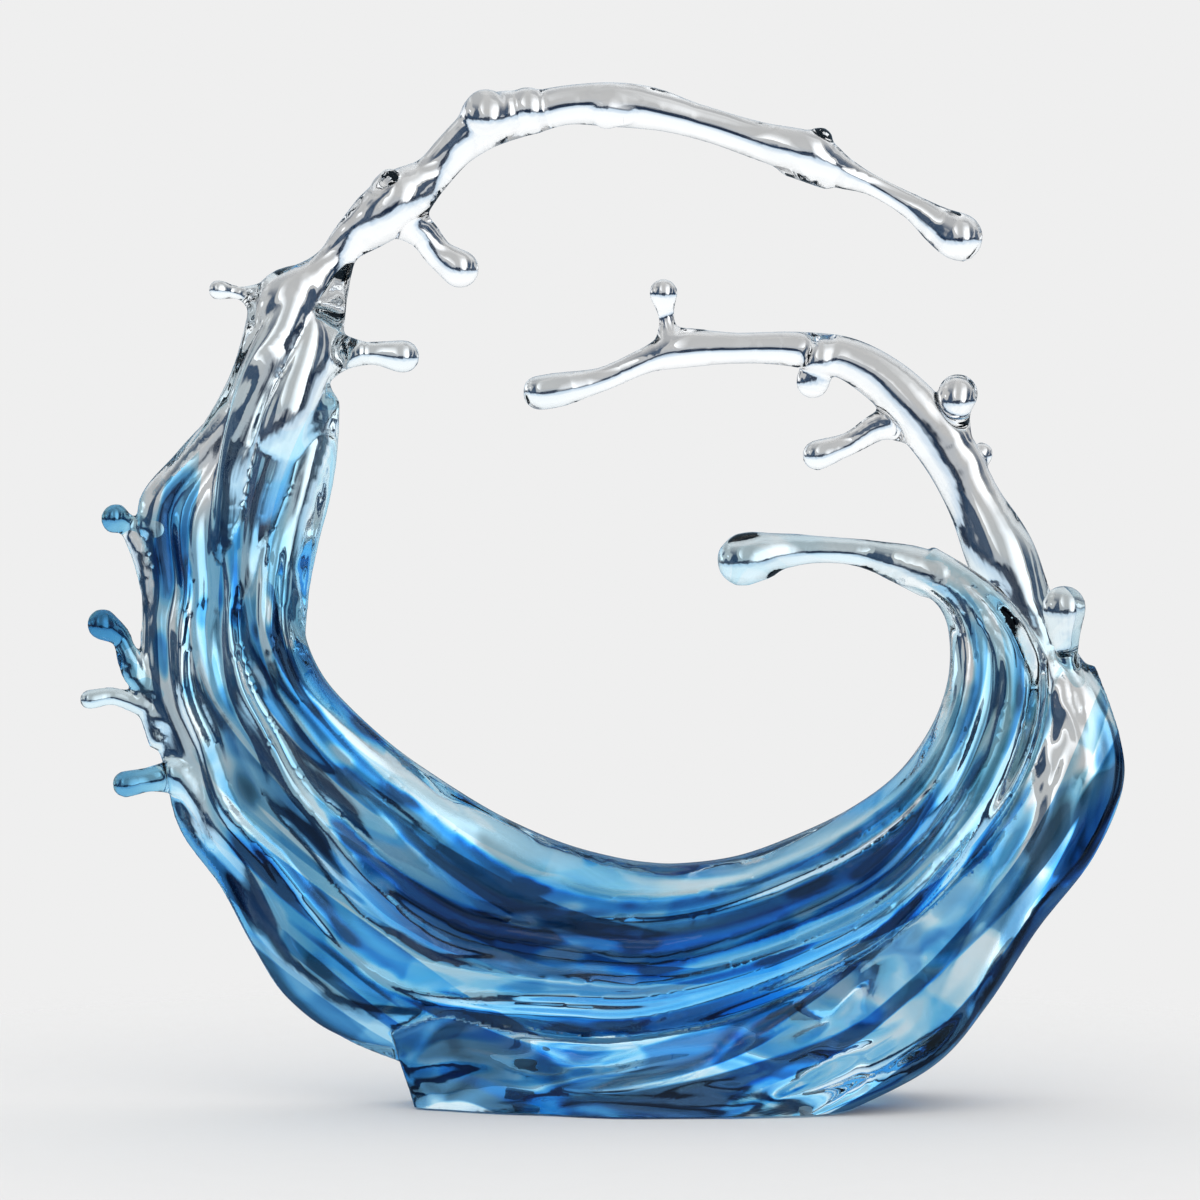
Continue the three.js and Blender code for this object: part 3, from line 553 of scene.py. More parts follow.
@dataclass
class Sheet:
    """Band of resin swept between an inner and an outer edge.

    Attributes:
        rows: set-out table: edges, depth shares and half-thickness shares.
        half_thickness: reference half thickness.
        edge_power: how square the edges close.
        ribs: function of along, across and side that gives the rib height and the tint, which is dye with painted
            highlights and painted shade.
        steps: loops along the whole band.
        loop_points: points of a loop.
        crowding: how much closer the points lie near the edges.
    """

    rows: list
    half_thickness: float
    edge_power: float
    ribs: object = None
    steps: int = 320
    loop_points: int = 150
    crowding: float = 0.4

    def skin(self, start: float = 0, end: float = 1, grow: float = 0, square_end: bool = False) -> Skin:
        """Closed form of a stretch of the band.

        Args:
            start: share of the rows where it begins.
            end: share where it ends.
            grow: added all round, for a cutter.
            square_end: leaves the end where it is, whatever the growth.

        Returns:
            The closed form.
        """
        along = np.linspace(start, end, max(8, int(self.steps * (end - start))) + 1)
        rows = smooth_rows(np.array(self.rows, float), along)
        inner = PICTURE.place(rows[:, 0], rows[:, 1], rows[:, 4])
        outer = PICTURE.place(rows[:, 2], rows[:, 3], rows[:, 5])
        aside = (outer - inner) * [1, 0, 1]
        aside /= np.linalg.norm(aside, axis=1)[:, None]
        inner, outer = inner - aside * grow, outer + aside * grow
        middle = (inner + outer) / 2
        run = np.concatenate([[0], np.cumsum(np.linalg.norm(np.diff(middle, axis=0), axis=1))])
        turn = np.arange(self.loop_points) / self.loop_points
        back = turn <= 0.5
        across = np.where(back, turn * 2, 2 - turn * 2)
        share = across + ((1 - np.cos(across * math.pi)) / 2 - across) * self.crowding
        edge = (1 - np.abs(2 * share - 1) ** self.edge_power) ** (1 / self.edge_power)
        plain = rows[:, 6:7] + (rows[:, 7:8] - rows[:, 6:7]) * share[None, :]
        side = np.where(back, 1.0, -1.0)[None, :]
        rib, tint = self.ribs(along[:, None], share[None, :], side) if self.ribs and grow == 0 else (0, 0)
        half = (plain * self.half_thickness + rib) * edge[None, :] + grow
        points = inner[:, None, :] + (outer - inner)[:, None, :] * share[None, :, None]
        points[:, :, 1] += np.where((share == 0) | (share == 1), 0, half * side)
        width = np.linalg.norm(outer - inner, axis=1)
        side_mark = (side < 0) * FRONT_MARK
        flow = np.stack(np.broadcast_arrays(run[:, None], width[:, None] * share + side_mark, tint), axis=-1)
        first, last = middle[0] - middle[1], middle[-1] - middle[-2]
        lift = grow * first / np.linalg.norm(first)
        drop = (0 if square_end else grow) * last / np.linalg.norm(last)
        closing = points[0].mean(axis=0) + lift, points[-1].mean(axis=0) + drop
        points[0] += lift
        points[-1] += drop
        return closed_loft(points, flow, *closing)


# Added to the flow across on the front of a sheet, so that the dye tells it from the back
FRONT_MARK = 0.3


@dataclass(frozen=True)
class Ridge:
    """One long ridge of a sheet, as shares of its width.

    Attributes:
        place: where its crest runs.
        width: half its width.
        height: its height, in millimetres.
        tint: dye added in it, less where negative.
        phase: where its wandering starts.
    """

    place: float
    width: float
    height: float
    tint: float
    phase: float


FRONT_RIDGES = (
    Ridge(0.06, 0.11, 4.5, -0.1, 0.1), Ridge(0.185, 0.07, 6.5, 0.28, 0.55),
    Ridge(0.3, 0.085, 5.0, 0.06, 0.3), Ridge(0.43, 0.075, 7.5, 0.0, 0.8),
    Ridge(0.55, 0.075, 5.5, -0.3, 0.05), Ridge(0.665, 0.08, 7.5, -0.2, 0.7),
    Ridge(0.785, 0.075, 6.0, 0.08, 0.45), Ridge(0.9, 0.09, 5.0, 0.04, 0.2),
    Ridge(0.24, 0.042, 6.0, -0.3, 0.62), Ridge(0.49, 0.045, 7.0, -0.5, 0.33),
    Ridge(0.725, 0.045, 7.0, -0.45, 0.85),
)
NECK_RIDGES = (
    Ridge(0.1, 0.12, 5.0, 0.0, 0.2), Ridge(0.34, 0.15, 8.0, -0.15, 0.5), Ridge(0.6, 0.13, 7.0, 0.08, 0.75),
    Ridge(0.85, 0.16, 4.0, -0.1, 0.05),
)
LIP_RIDGES = (
    Ridge(0.12, 0.13, 5.0, -0.15, 0.3), Ridge(0.33, 0.12, 6.0, 0.2, 0.65),
    Ridge(0.54, 0.11, 6.0, -0.2, 0.1), Ridge(0.73, 0.11, 5.0, 0.15, 0.85), Ridge(0.9, 0.1, 4.0, -0.1, 0.45),
)
BACK_RIDGES = (
    Ridge(0.1, 0.19, 1.4, -0.1, 0.4), Ridge(0.36, 0.2, 2.4, 0.08, 0.9), Ridge(0.62, 0.19, 2.4, -0.08, 0.2),
    Ridge(0.88, 0.17, 1.4, 0.08, 0.65),
)


def held(value: np.ndarray) -> np.ndarray:
    """Value held between 0 and 1."""
    return np.clip(value, 0, 1)


def swing(turns: np.ndarray) -> np.ndarray:
    """Sine of a number of turns."""
    return np.sin(TAU * turns)


def ridged(ridges: tuple, along: np.ndarray, share: np.ndarray, sway: float = 1,
           painted_flank_light: float = 1) -> tuple[np.ndarray, np.ndarray]:
    """Height and tint of a set of ridges that run side by side, merge and part again.

    The tint is their dye with painted light: painted highlights on the outer flanks, painted
    shade on the inner flanks and along the valleys.

    Args:
        ridges: the ridges.
        along: share of the sweep.
        share: share from the inner to the outer edge.
        sway: how far they wander.
        painted_flank_light: strength of the painted light on their flanks: short pale dashes and a paler outer flank
            as painted highlights, short dark dashes and a darker inner flank as painted shade.

    Returns:
        Height in metres and tint, the tint holding painted highlights and painted shade, at every point.
    """
    best = np.full(np.broadcast(along, share).shape, -1.0)
    second = best - 1
    tint = np.zeros_like(best)
    for ridge in ridges:
        phase = ridge.phase
        wander = (0.034 * swing(1.3 * along + phase) + 0.018 * swing(3.1 * along + 2.7 * phase)) * sway
        swell = 0.86 + 0.34 * swing(1.7 * along + 1.7 * phase) + 0.1 * swing(5.3 * along)
        wide = ridge.width * (1.15 + 0.25 * swing(1.1 * along + 3.1 * phase))
        away = (share - ridge.place - wander) / wide
        lean = 0.4 * swing(0.8 * along + 4.3 * phase)
        height = ridge.height * swell * (1 - np.abs(away * (1 + lean * np.sign(away))) ** 1.35)
        lead = height > best
        shade = ridge.tint * (0.8 + 0.5 * swing(1.4 * along + phase * 5))
        # Painted light on the flanks: pale dashes and a paler outer flank are painted highlights, dark dashes and a
        # darker inner flank are painted shade.
        dashes = swing(15.3 * along + 3 * phase) + swing(9.1 * along + 7 * phase + share)
        glint = held(dashes * 2 - 1.2 - 3.4 * np.abs(away - 0.5))
        gloom = held(-dashes * 2 - 1.0 - 3.4 * np.abs(away + 0.35))
        shade = shade + painted_flank_light * (0.4 * gloom - 0.55 * glint - 0.13 * np.tanh(6 * away))
        second = np.where(lead, best, np.maximum(second, height))
        tint = np.where(lead, shade, tint)
        best = np.maximum(best, height)
    # Painted shade: the dye is darker along the valleys where two ridges meet.
    valley_shade = np.exp(-((best - np.maximum(second, -1.0)) / 1.6) ** 2)
    return best * MM, tint + 0.28 * valley_shade


def creased(seeds: tuple, along: float, across: float, height: float, u: np.ndarray,
            v: np.ndarray) -> tuple[np.ndarray, np.ndarray, np.ndarray]:
    """Smooth swells that meet in crisp creases.

    Args:
        seeds: one seed for each set of swells.
        along: swell length along the flow.
        across: swell length across the flow.
        height: size of the swells.
        u: flow coordinate along.
        v: flow coordinate across.

    Returns:
        Height of the highest set of swells, its number, and how near the crease is, at every point.
    """
    sets = np.stack([Waviness(seed, along, across, height, 3).at(u, v) for seed in seeds])
    ranked = np.sort(sets, axis=0)
    return ranked[-1], np.argmax(sets, axis=0), np.exp(-((ranked[-1] - ranked[-2]) / (0.45 * MM)) ** 2)


def belts(along: np.ndarray, share: np.ndarray) -> np.ndarray:
    """Belts of dye round the ring: pale inner rim, navy middle, bright belt above the foot.

    Args:
        along: share of the sweep.
        share: share from the inner to the outer edge.

    Returns:
        Dye added, less where negative.
    """
    rim = held((0.18 - share) / 0.05) * held((along - 0.3) * 8)
    navy = np.exp(-(((share - 0.44) / 0.11) ** 2)) * held((along - 0.42) * 8) * held((0.9 - along) * 6)
    bright = np.exp(-(((share - 0.74) / 0.09) ** 2)) * held((along - 0.36) * 8) * held((0.86 - along) * 6)
    left = held(1.5 - np.abs(along - 0.34) / 0.1)
    silver = held((0.2 - along) / 0.035) * held((share - 0.35) * 5)
    return 0.22 * navy - 0.17 * bright - 0.3 * rim - 0.13 * left - 0.35 * silver


def wall_ribs(along: np.ndarray, share: np.ndarray, side: np.ndarray) -> tuple[np.ndarray, np.ndarray]:
    """Flutes of the wave wall: bold ridges in front, broad ones behind.

    Args:
        along: share of the sweep.
        share: share from the inner to the outer edge.
        side: 1 at the back, -1 at the front.

    Returns:
        Height over the plain wall in metres, and tint, which carries the ridges' painted highlights and painted
        shade.
    """
    front, front_tint = ridged(FRONT_RIDGES, along, share)
    back, back_tint = ridged(BACK_RIDGES, along, share, 1, 0)
    for weight, ridges, sway in ((held((0.205 - along) / 0.08), NECK_RIDGES, 1.6),
                                 (held((along - 0.76) / 0.1), LIP_RIDGES, 1.3)):
        height, shade = ridged(ridges, along, share, sway)
        weight = weight * weight * (3 - 2 * weight)
        front, front_tint = front + (height - front) * weight, front_tint + (shade - front_tint) * weight
    lobe = held(1 - np.abs(along - 0.49) / 0.08) * held((share - 0.5) * 6)
    fade = held(10 * (1 - along)) * held(0.3 + 8 * along) * (1 - 0.75 * lobe)
    edge = held(1.4 - np.abs(along - 0.3) / 0.07) * held((share - 0.64) * 6)
    swell, _, _ = creased((21, 22), 0.16, 0.055, 1.8 * MM, along * 0.9 + side, share * 0.095)
    height = np.where(side < 0, front - 2.6 * MM, back - 2 * MM)
    tint = np.where(side < 0, front_tint, back_tint * 0.5) + belts(along, share) - 0.6 * edge - 0.12 * lobe
    return height * fade + swell * held(0.3 + fade), tint


def shell_swells(along: np.ndarray, share: np.ndarray, side: np.ndarray) -> tuple[np.ndarray, np.ndarray]:
    """Broad uneven swells and folded crests of the foot and the right shell, rippled at its top.

    Args:
        along: share of the sweep, from the left end of the foot.
        share: share from the upper to the lower edge.
        side: 1 at the back, -1 at the front.

    Returns:
        Height over the plain form in metres, and tint, which holds painted highlights along the crests, chip edges
        and ripples and painted shade along the valley creases.
    """
    u, v = along * 0.75 + side, share * 0.1
    valleys, facet, crease_shade = creased((5, 6, 7), 0.2, 0.1, 4.0 * MM, u, v)
    crests, fold, crest = creased((8, 9, 10), 0.2, 0.08, 3.0 * MM, u, v)
    chips, _, edge = creased((14, 15, 16), 0.14, 0.06, 1.5 * MM, u, v)
    ripples, _, glint = creased((31, 33), 0.06, 0.03, 1.3 * MM, u, v)
    patch = held(1.5 - np.abs(along - 0.84) / 0.07) * held(1.6 - np.abs(share - 0.45) / 0.2)
    lower = np.clip(1.25 - along, 0.35, 1) * np.where(side < 0, 1.0, 0.25)
    # Painted light in the tint: paler along the crisp crests, chip edges and ripple creases as painted highlights,
    # darker along the valley creases as painted shade; the facets and folds differ in dye at random.
    tint = np.array([-0.12, 0.14, 0.02])[facet] + np.array([0.12, -0.14, 0.02])[fold] - 0.3 * crest + 0.15 * crease_shade
    tint = tint - 0.12 * edge - (0.24 + 0.2 * glint) * patch
    places, dyes = (0, 0.2, 0.4, 0.55, 0.7, 0.85, 1), (-0.04, -0.08, -0.08, 0.24, 0.22, 0.16, -0.06)
    rim = held((share - 0.86) * 8) * 0.12 + held((0.055 - along) * 60) * 0.1
    height = (valleys - crests - chips + 1.2 * MM) * lower + ripples * patch * np.where(side < 0, 1.0, 0.4)
    return height, tint + np.interp(along, places, dyes) + rim


# Workshop


class Parting(Enum):
    """What a cut keeps: the side inside the cutter, or the rest."""

    INSIDE = "INTERSECT"
    OUTSIDE = "DIFFERENCE"


def column(items: object, name: str, width: int = 1, kind: type = float) -> np.ndarray:
    """Values of one property of a mesh's vertices, faces or corners.

    Args:
        items: the vertices, faces, corners or attribute values.
        name: the property.
        width: how many numbers each has.
        kind: type of number.

    Returns:
        One value or row for each.
    """
    values = np.empty(len(items) * width, kind)
    items.foreach_get(name, values)
    return values.reshape(-1, width) if width > 1 else values


def settled(obj: bpy.types.Object) -> bpy.types.Mesh:
    """Plain mesh of an object with its modifiers carried out."""
    graph = bpy.context.evaluated_depsgraph_get()
    return bpy.data.meshes.new_from_object(obj.evaluated_get(graph))


def remeshed(obj: bpy.types.Object, mesh: bpy.types.Mesh) -> None:
    """Gives an object a new mesh in place of its old one, and clears its modifiers.

    Args:
        obj: the object.
        mesh: its new mesh.
    """
    old = obj.data
    obj.modifiers.clear()
    obj.data = mesh
    bpy.data.meshes.remove(old)


def shown(name: str, mesh: bpy.types.Mesh) -> bpy.types.Object:
    """New object in the scene.

    Args:
        name: its name.
        mesh: its mesh.

    Returns:
        The object.
    """
    obj = bpy.data.objects.new(name, mesh)
    bpy.context.scene.collection.objects.link(obj)
    return obj


def thrown_away(obj: bpy.types.Object) -> None:
    """Removes a workshop object and its mesh."""
    mesh = obj.data
    bpy.data.objects.remove(obj)
    bpy.data.meshes.remove(mesh)


def signed_volume(mesh: bpy.types.Mesh) -> float:
    """Volume inside a closed mesh.

    Args:
        mesh: the mesh.

    Returns:
        Its volume, negative where its faces point inwards.
    """
    mesh.calc_loop_triangles()
    corners = column(mesh.loop_triangles, "vertices", 3, int)
    a, b, c = column(mesh.vertices, "co", 3)[corners].transpose(1, 0, 2)
    return float(np.einsum("ij,ij->i", a, np.cross(b, c)).sum() / 6)


def block(low: tuple, high: tuple) -> Skin:
    """Closed box.

    Args:
        low: its lowest corner.
        high: its highest corner.

    Returns:
        The closed form.
    """
    spans = zip(low, high)
    points = np.array([[x, y, z] for xs, ys, zs in [spans] for x in xs for y in ys for z in zs], float)
    faces = [[0, 1, 3, 2], [4, 6, 7, 5], [0, 4, 5, 1], [2, 3, 7, 6], [0, 2, 6, 4], [1, 5, 7, 3]]
    return Skin(points, faces, np.zeros_like(points))


def prism(outline: list) -> Skin:
    """Closed prism from front to back.

    Args:
        outline: its corners, as x and z.

    Returns:
        The closed form.
    """
    count = len(outline)
    points = np.array([[x, y, z] for y in (-1, 1) for x, z in outline], float)
    faces = [list(range(count)), list(range(2 * count - 1, count - 1, -1))]
    faces += [[i, i + count, (i + 1) % count + count, (i + 1) % count] for i in range(count)]
    return Skin(points, faces, np.zeros_like(points))


def married(first: bpy.types.Object, second: bpy.types.Object) -> bpy.types.Object:
    """Adds one object's mesh to another's.

    Args:
        first: object that grows.
        second: object that goes.

    Returns:
        The first object.
    """
    grown = bmesh.new()
    grown.from_mesh(first.data)
    grown.from_mesh(second.data)
    grown.to_mesh(first.data)
    grown.free()
    thrown_away(second)
    return first


def joined(skins: list) -> Skin:
    """Several forms in one, still overlapping.

    Args:
        skins: the forms.

    Returns:
        All of them as one form.
    """
    faces, start = [], 0
    for skin in skins:
        faces += [[index + start for index in face] for face in skin.faces]
        start += len(skin.points)
    return Skin(np.vstack([s.points for s in skins]), faces, np.vstack([s.flow for s in skins]))


@dataclass
class Foundry:
    """Runs forms together into one skin and parts it along the bonded joints.

    Attributes:
        adhesive: material of the joint faces.
        resin: material of the outside, until a piece is dressed.
        voxel: fineness of the skin.
        evening: steps in and out that even the whole skin, and how often.
        fillet: step that rounds the creases, and how often.
        fillet_reach: how far from a crease it acts.
        fillet_fade: how much of that it acts in full, over 1.
        cutters: hidden cutters in use.
        whole: the whole skin before it is parted, once there is one.
    """

    adhesive: bpy.types.Material
    resin: bpy.types.Material
    voxel: float = 1.4 * MM
    evening: tuple = ((0.55, -0.57), 11)
    fillet: tuple = (0.5, 8)
    fillet_reach: float = 7 * MM
    fillet_fade: float = 1.4
    cutters: list = field(default_factory=list)
    whole: bpy.types.Object | None = None

    def run_together(self, skins: list, creases: list) -> bpy.types.Object:
        """One skin round all the forms, with liquid fillets near the creases.

        Args:
            skins: overlapping closed forms.
            creases: points where stems leave their carriers, each with a radius.

        Returns:
            Object of the one closed skin.
        """
        body = shown("poured", joined(skins).mesh("poured"))
        remesh = body.modifiers.new("skin", "REMESH")
        remesh.mode, remesh.voxel_size, remesh.adaptivity = "VOXEL", self.voxel, 0
        mesh = settled(body)
        thrown_away(body)
        self.soften(mesh, creases)
        mesh.polygons.foreach_set("use_smooth", np.ones(len(mesh.polygons), bool))
        mesh.materials.clear()
        mesh.materials.append(self.resin)
        self.whole = shown("whole skin", mesh.copy())
        self.whole.hide_render = True
        return shown("wave_wall", mesh)

    def soften(self, mesh: bpy.types.Mesh, creases: list) -> None:
        """Evens the skin out a little everywhere, and much more near the creases.

        Args:
            mesh: the skin.
            creases: points with a radius each.
        """
        count = len(mesh.vertices)
        points = column(mesh.vertices, "co", 3)
        a, b = column(mesh.edges, "vertices", 2, int).T
        degree = np.bincount(a, minlength=count) + np.bincount(b, minlength=count)
        near = np.zeros(count)
        for *crease, radius in creases:
            distance = np.linalg.norm(points - crease, axis=1)
            near = np.maximum(near, held(self.fillet_fade - distance / (self.fillet_reach + radius)))

        def averaged() -> np.ndarray:
            """Mean of each vertex's neighbours."""
            sums = [np.bincount(a, points[b, k], count) + np.bincount(b, points[a, k], count)
                    for k in range(3)]
            return np.stack(sums, axis=1) / degree[:, None]

        steps, rounds = self.evening
        for step in steps * rounds:
            points = points + step * (averaged() - points)
        step, rounds = self.fillet
        for _ in range(rounds):
            points = points + step * near[:, None] * (averaged() - points)
        mesh.vertices.foreach_set("co", points.ravel())
        mesh.update()

    def cutter(self, skin: Skin, material: bpy.types.Material | None = None) -> bpy.types.Object:
        """Hidden cutter with its faces pointing outwards.

        Args:
            skin: its form.
            material: material that it leaves on the cut, the adhesive if none is given.

        Returns:
            The cutter.
        """
        mesh = skin.mesh("cutter")
        mesh.materials.append(material or self.adhesive)
        if signed_volume(mesh) < 0:
            mesh.flip_normals()
        obj = shown("cutter", mesh)
        obj.hide_render = True
        self.cutters.append(obj)
        return obj

    def cut(self, body: bpy.types.Object, cutter: bpy.types.Object, way: Parting) -> bpy.types.Mesh:
        """Mesh of a body cut by a cutter.

        Args:
            body: what is cut, left as it is.
            cutter: what cuts it.
            way: what is kept.

        Returns:
            The mesh that is kept.
        """
        tool = body.modifiers.new("cut", "BOOLEAN")
        tool.solver, tool.operation, tool.object, tool.material_mode = "MANIFOLD", way.value, cutter, "TRANSFER"
        mesh = settled(body)
        body.modifiers.clear()
        return mesh

    def trim(self, body: bpy.types.Object, cutter: bpy.types.Object, way: Parting = Parting.OUTSIDE) -> None:
        """Cuts a body down.

        Args:
            body: what is cut.
            cutter: what cuts it.
            way: what is kept.
        """
        remeshed(body, self.cut(body, cutter, way))

    def part(self, body: bpy.types.Object, form: Skin, name: str) -> bpy.types.Object:
        """Parts what lies inside a form from a body.

        Args:
            body: what is cut.
            form: form of the cutter.
            name: name of the new object.

        Returns:
            The new object.
        """
        cutter = self.cutter(form)
        inside = self.cut(body, cutter, Parting.INSIDE)
        self.trim(body, cutter)
        return shown(name, inside)

    def sweep(self) -> None:
        """Clears the cutters away."""
        for obj in self.cutters:
            thrown_away(obj)
        self.cutters.clear()


# Sub-assemblies


@dataclass
class Arms:
    """Crest arm, right arm and lip tendril, and the joints that divide them.

    Attributes:
        crest_radius: reference radius of the crest arm.
        right_radius: reference radius of the right arm.
        lip_radius: reference radius of the lip tendril.
        knuckle_share: where the knuckle begins, along the crest arm.
        collar_share: where the crest tendril begins.
        splice_share: where the right arm's span begins.
        lip_share: where the lip tendril begins.
        bed_share: how much of the right arm lies bedded in the body.
        corner: left end of the right arm's height range, and its top and bottom.
    """

    crest_radius: float = 13 * MM
    right_radius: float = 12.6 * MM
    lip_radius: float = 5.4 * MM
    knuckle_share: float = 0.34
    collar_share: float = 0.485
    splice_share: float = 0.53
    lip_share: float = 0.22
    bed_share: float = 0.5
    corner: tuple[float, float, float] = (-50 * MM, 376 * MM, 275 * MM)
    wide: float = 9 * MM
    close: float = 4 * MM
    snug: float = 0.5 * MM

    def __post_init__(self) -> None:
        """Sets out the strands."""
        self.crest = Strand.of_rows(CREST, self.crest_radius, 11)
        self.right = Strand.of_rows(RIGHT_ARM, self.right_radius, 12)
        self.lip = Strand.of_rows(LIP_TENDRIL, self.lip_radius, 13)

    def free(self, foundry: Foundry, body: bpy.types.Object) -> tuple[bpy.types.Object, bpy.types.Object]:
        """Cuts both arms off the body, level at the neck and above the shell.

        Args:
            foundry: does the work.
            body: the one skin.

        Returns:
            The crest arm and the right arm.
        """
        neck = float(PICTURE.place(0, WALL[0][1], 0)[2])
        corner, top, bottom = self.corner
        upper = prism([(-1, neck), (corner, neck), (corner, top), (1, top), (1, 1), (-1, 1)])
        crest = foundry.part(body, upper, "crest_arm")
        return crest, foundry.part(body, block((corner, -1, bottom), (1, 1, top)), "right_arm_root")

    def divide(self, foundry: Foundry, crest: bpy.types.Object, right: bpy.types.Object,
               body: bpy.types.Object) -> dict:
        """Divides the arms at their joints, and frees the right arm's bed and the lip tendril.

        Args:
            foundry: does the work.
            crest: the crest arm.
            right: the right arm.
            body: the rest.

        Returns:
            Objects by name.
        """
        knuckle = self.crest.skin(self.knuckle_share, self.collar_share + 0.01, self.wide, True, True)
        stretches = (
            ("crest_tendril", crest, self.crest.skin(self.collar_share, 1, self.wide, True)),
            ("crest_knuckle", crest, knuckle),
            ("right_arm_span", right, self.right.skin(self.splice_share, 1, self.wide, True)),
            ("lip_tendril", body, self.lip.skin(self.lip_share, 1, self.close, True)),
        )
        pieces = {name: foundry.part(host, form, name) for name, host, form in stretches}
        bed = foundry.part(body, self.right.skin(0, self.bed_share, self.snug), "bed")
        return {**pieces, "crest_arm": crest, "right_arm_root": married(right, bed)}


@dataclass
class Body:
    """Wave wall, foot block and right shell.

    Attributes:
        wall_half: reference half thickness of the wall.
        foot_half: reference half thickness of the foot and the shell.
        joint_share: where the foot ends and the shell begins.
        groove: how far the wall's groove stands off it.
        foot_room: growth of the cutter of the foot and the shell.
        shell_room: growth of the cutter between them.
    """

    wall_half: float = 16 * MM
    foot_half: float = 64 * MM
    joint_share: float = 0.56
    groove: float = 3.2 * MM
    foot_room: float = 8 * MM
    shell_room: float = 12 * MM

    def __post_init__(self) -> None:
        """Sets out the sheets."""
        self.wall = Sheet(NECK_ROWS + WALL, self.wall_half, 3.2, wall_ribs, 400, 260)
        self.plain_wall = Sheet(WALL, self.wall_half, 2.4, None, 60, 60)
        self.shell = Sheet(SHELL, self.foot_half, 3, shell_swells, 240, 220)
        self.plain_shell = Sheet(SHELL, self.foot_half, 3, None, 44, 48)

    def divide(self, foundry: Foundry, body: bpy.types.Object) -> dict:
        """Parts the foot and the right shell from the wave wall.

        Args:
            foundry: does the work.
            body: the skin of all three.

        Returns:
            Objects by name.
        """
        groove = foundry.cutter(self.plain_wall.skin(0, 1, self.groove))
        foot = shown("foot_block", foundry.cut(body, groove, Parting.OUTSIDE))
        foundry.trim(foot, foundry.cutter(self.plain_shell.skin(0, 1, self.foot_room)), Parting.INSIDE)
        foundry.trim(body, foot)
        end = foundry.cutter(self.plain_shell.skin(0, self.joint_share, self.shell_room, square_end=True))
        shell = shown("right_shell", foundry.cut(foot, end, Parting.OUTSIDE))
        foundry.trim(foot, end, Parting.INSIDE)
        return {"right_shell": shell, "foot_block": foot, "wave_wall": body}


@dataclass
class Pads:
    """The bumper pads under the base and the recesses that they sit in.

    Attributes:
        count: number of pads.
        below: how far the recess cutter reaches below the table.
        top: height of a recess.
        gap: room round a pad.
    """

    count: int = 4
    below: float = 1.0 * MM
    top: float = 2.2 * MM
    gap: float = 0.4 * MM

    def recess(self, index: int) -> Skin:
        """Round recess for a pad.

        Args:
            index: number of the pad, from 0.

        Returns:
            The recess.
        """
        low, high = (np.array(corner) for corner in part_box(f"base_pad_{index + 1}"))
        middle = (low + high) / 2
        ends = np.array([[middle[0], middle[1], -self.below], [middle[0], middle[1], self.top]])
        radius = np.full(2, (high[0] - low[0]) / 2 + self.gap)
        return Strand(ends, radius, np.ones(2), pitch=1.0 * MM).skin(flat_start=True, flat_end=True)

    def recesses(self) -> Skin:
        """All the recesses."""
        return joined([self.recess(index) for index in range(self.count)])

    def dress(self) -> None:
        """Gives the pads their silicone."""
        pad = PadFinish().material()
        for index in range(self.count):
            materials = bpy.data.objects[f"base_pad_{index + 1}"].data.materials
            materials.clear()
            materials.append(pad)


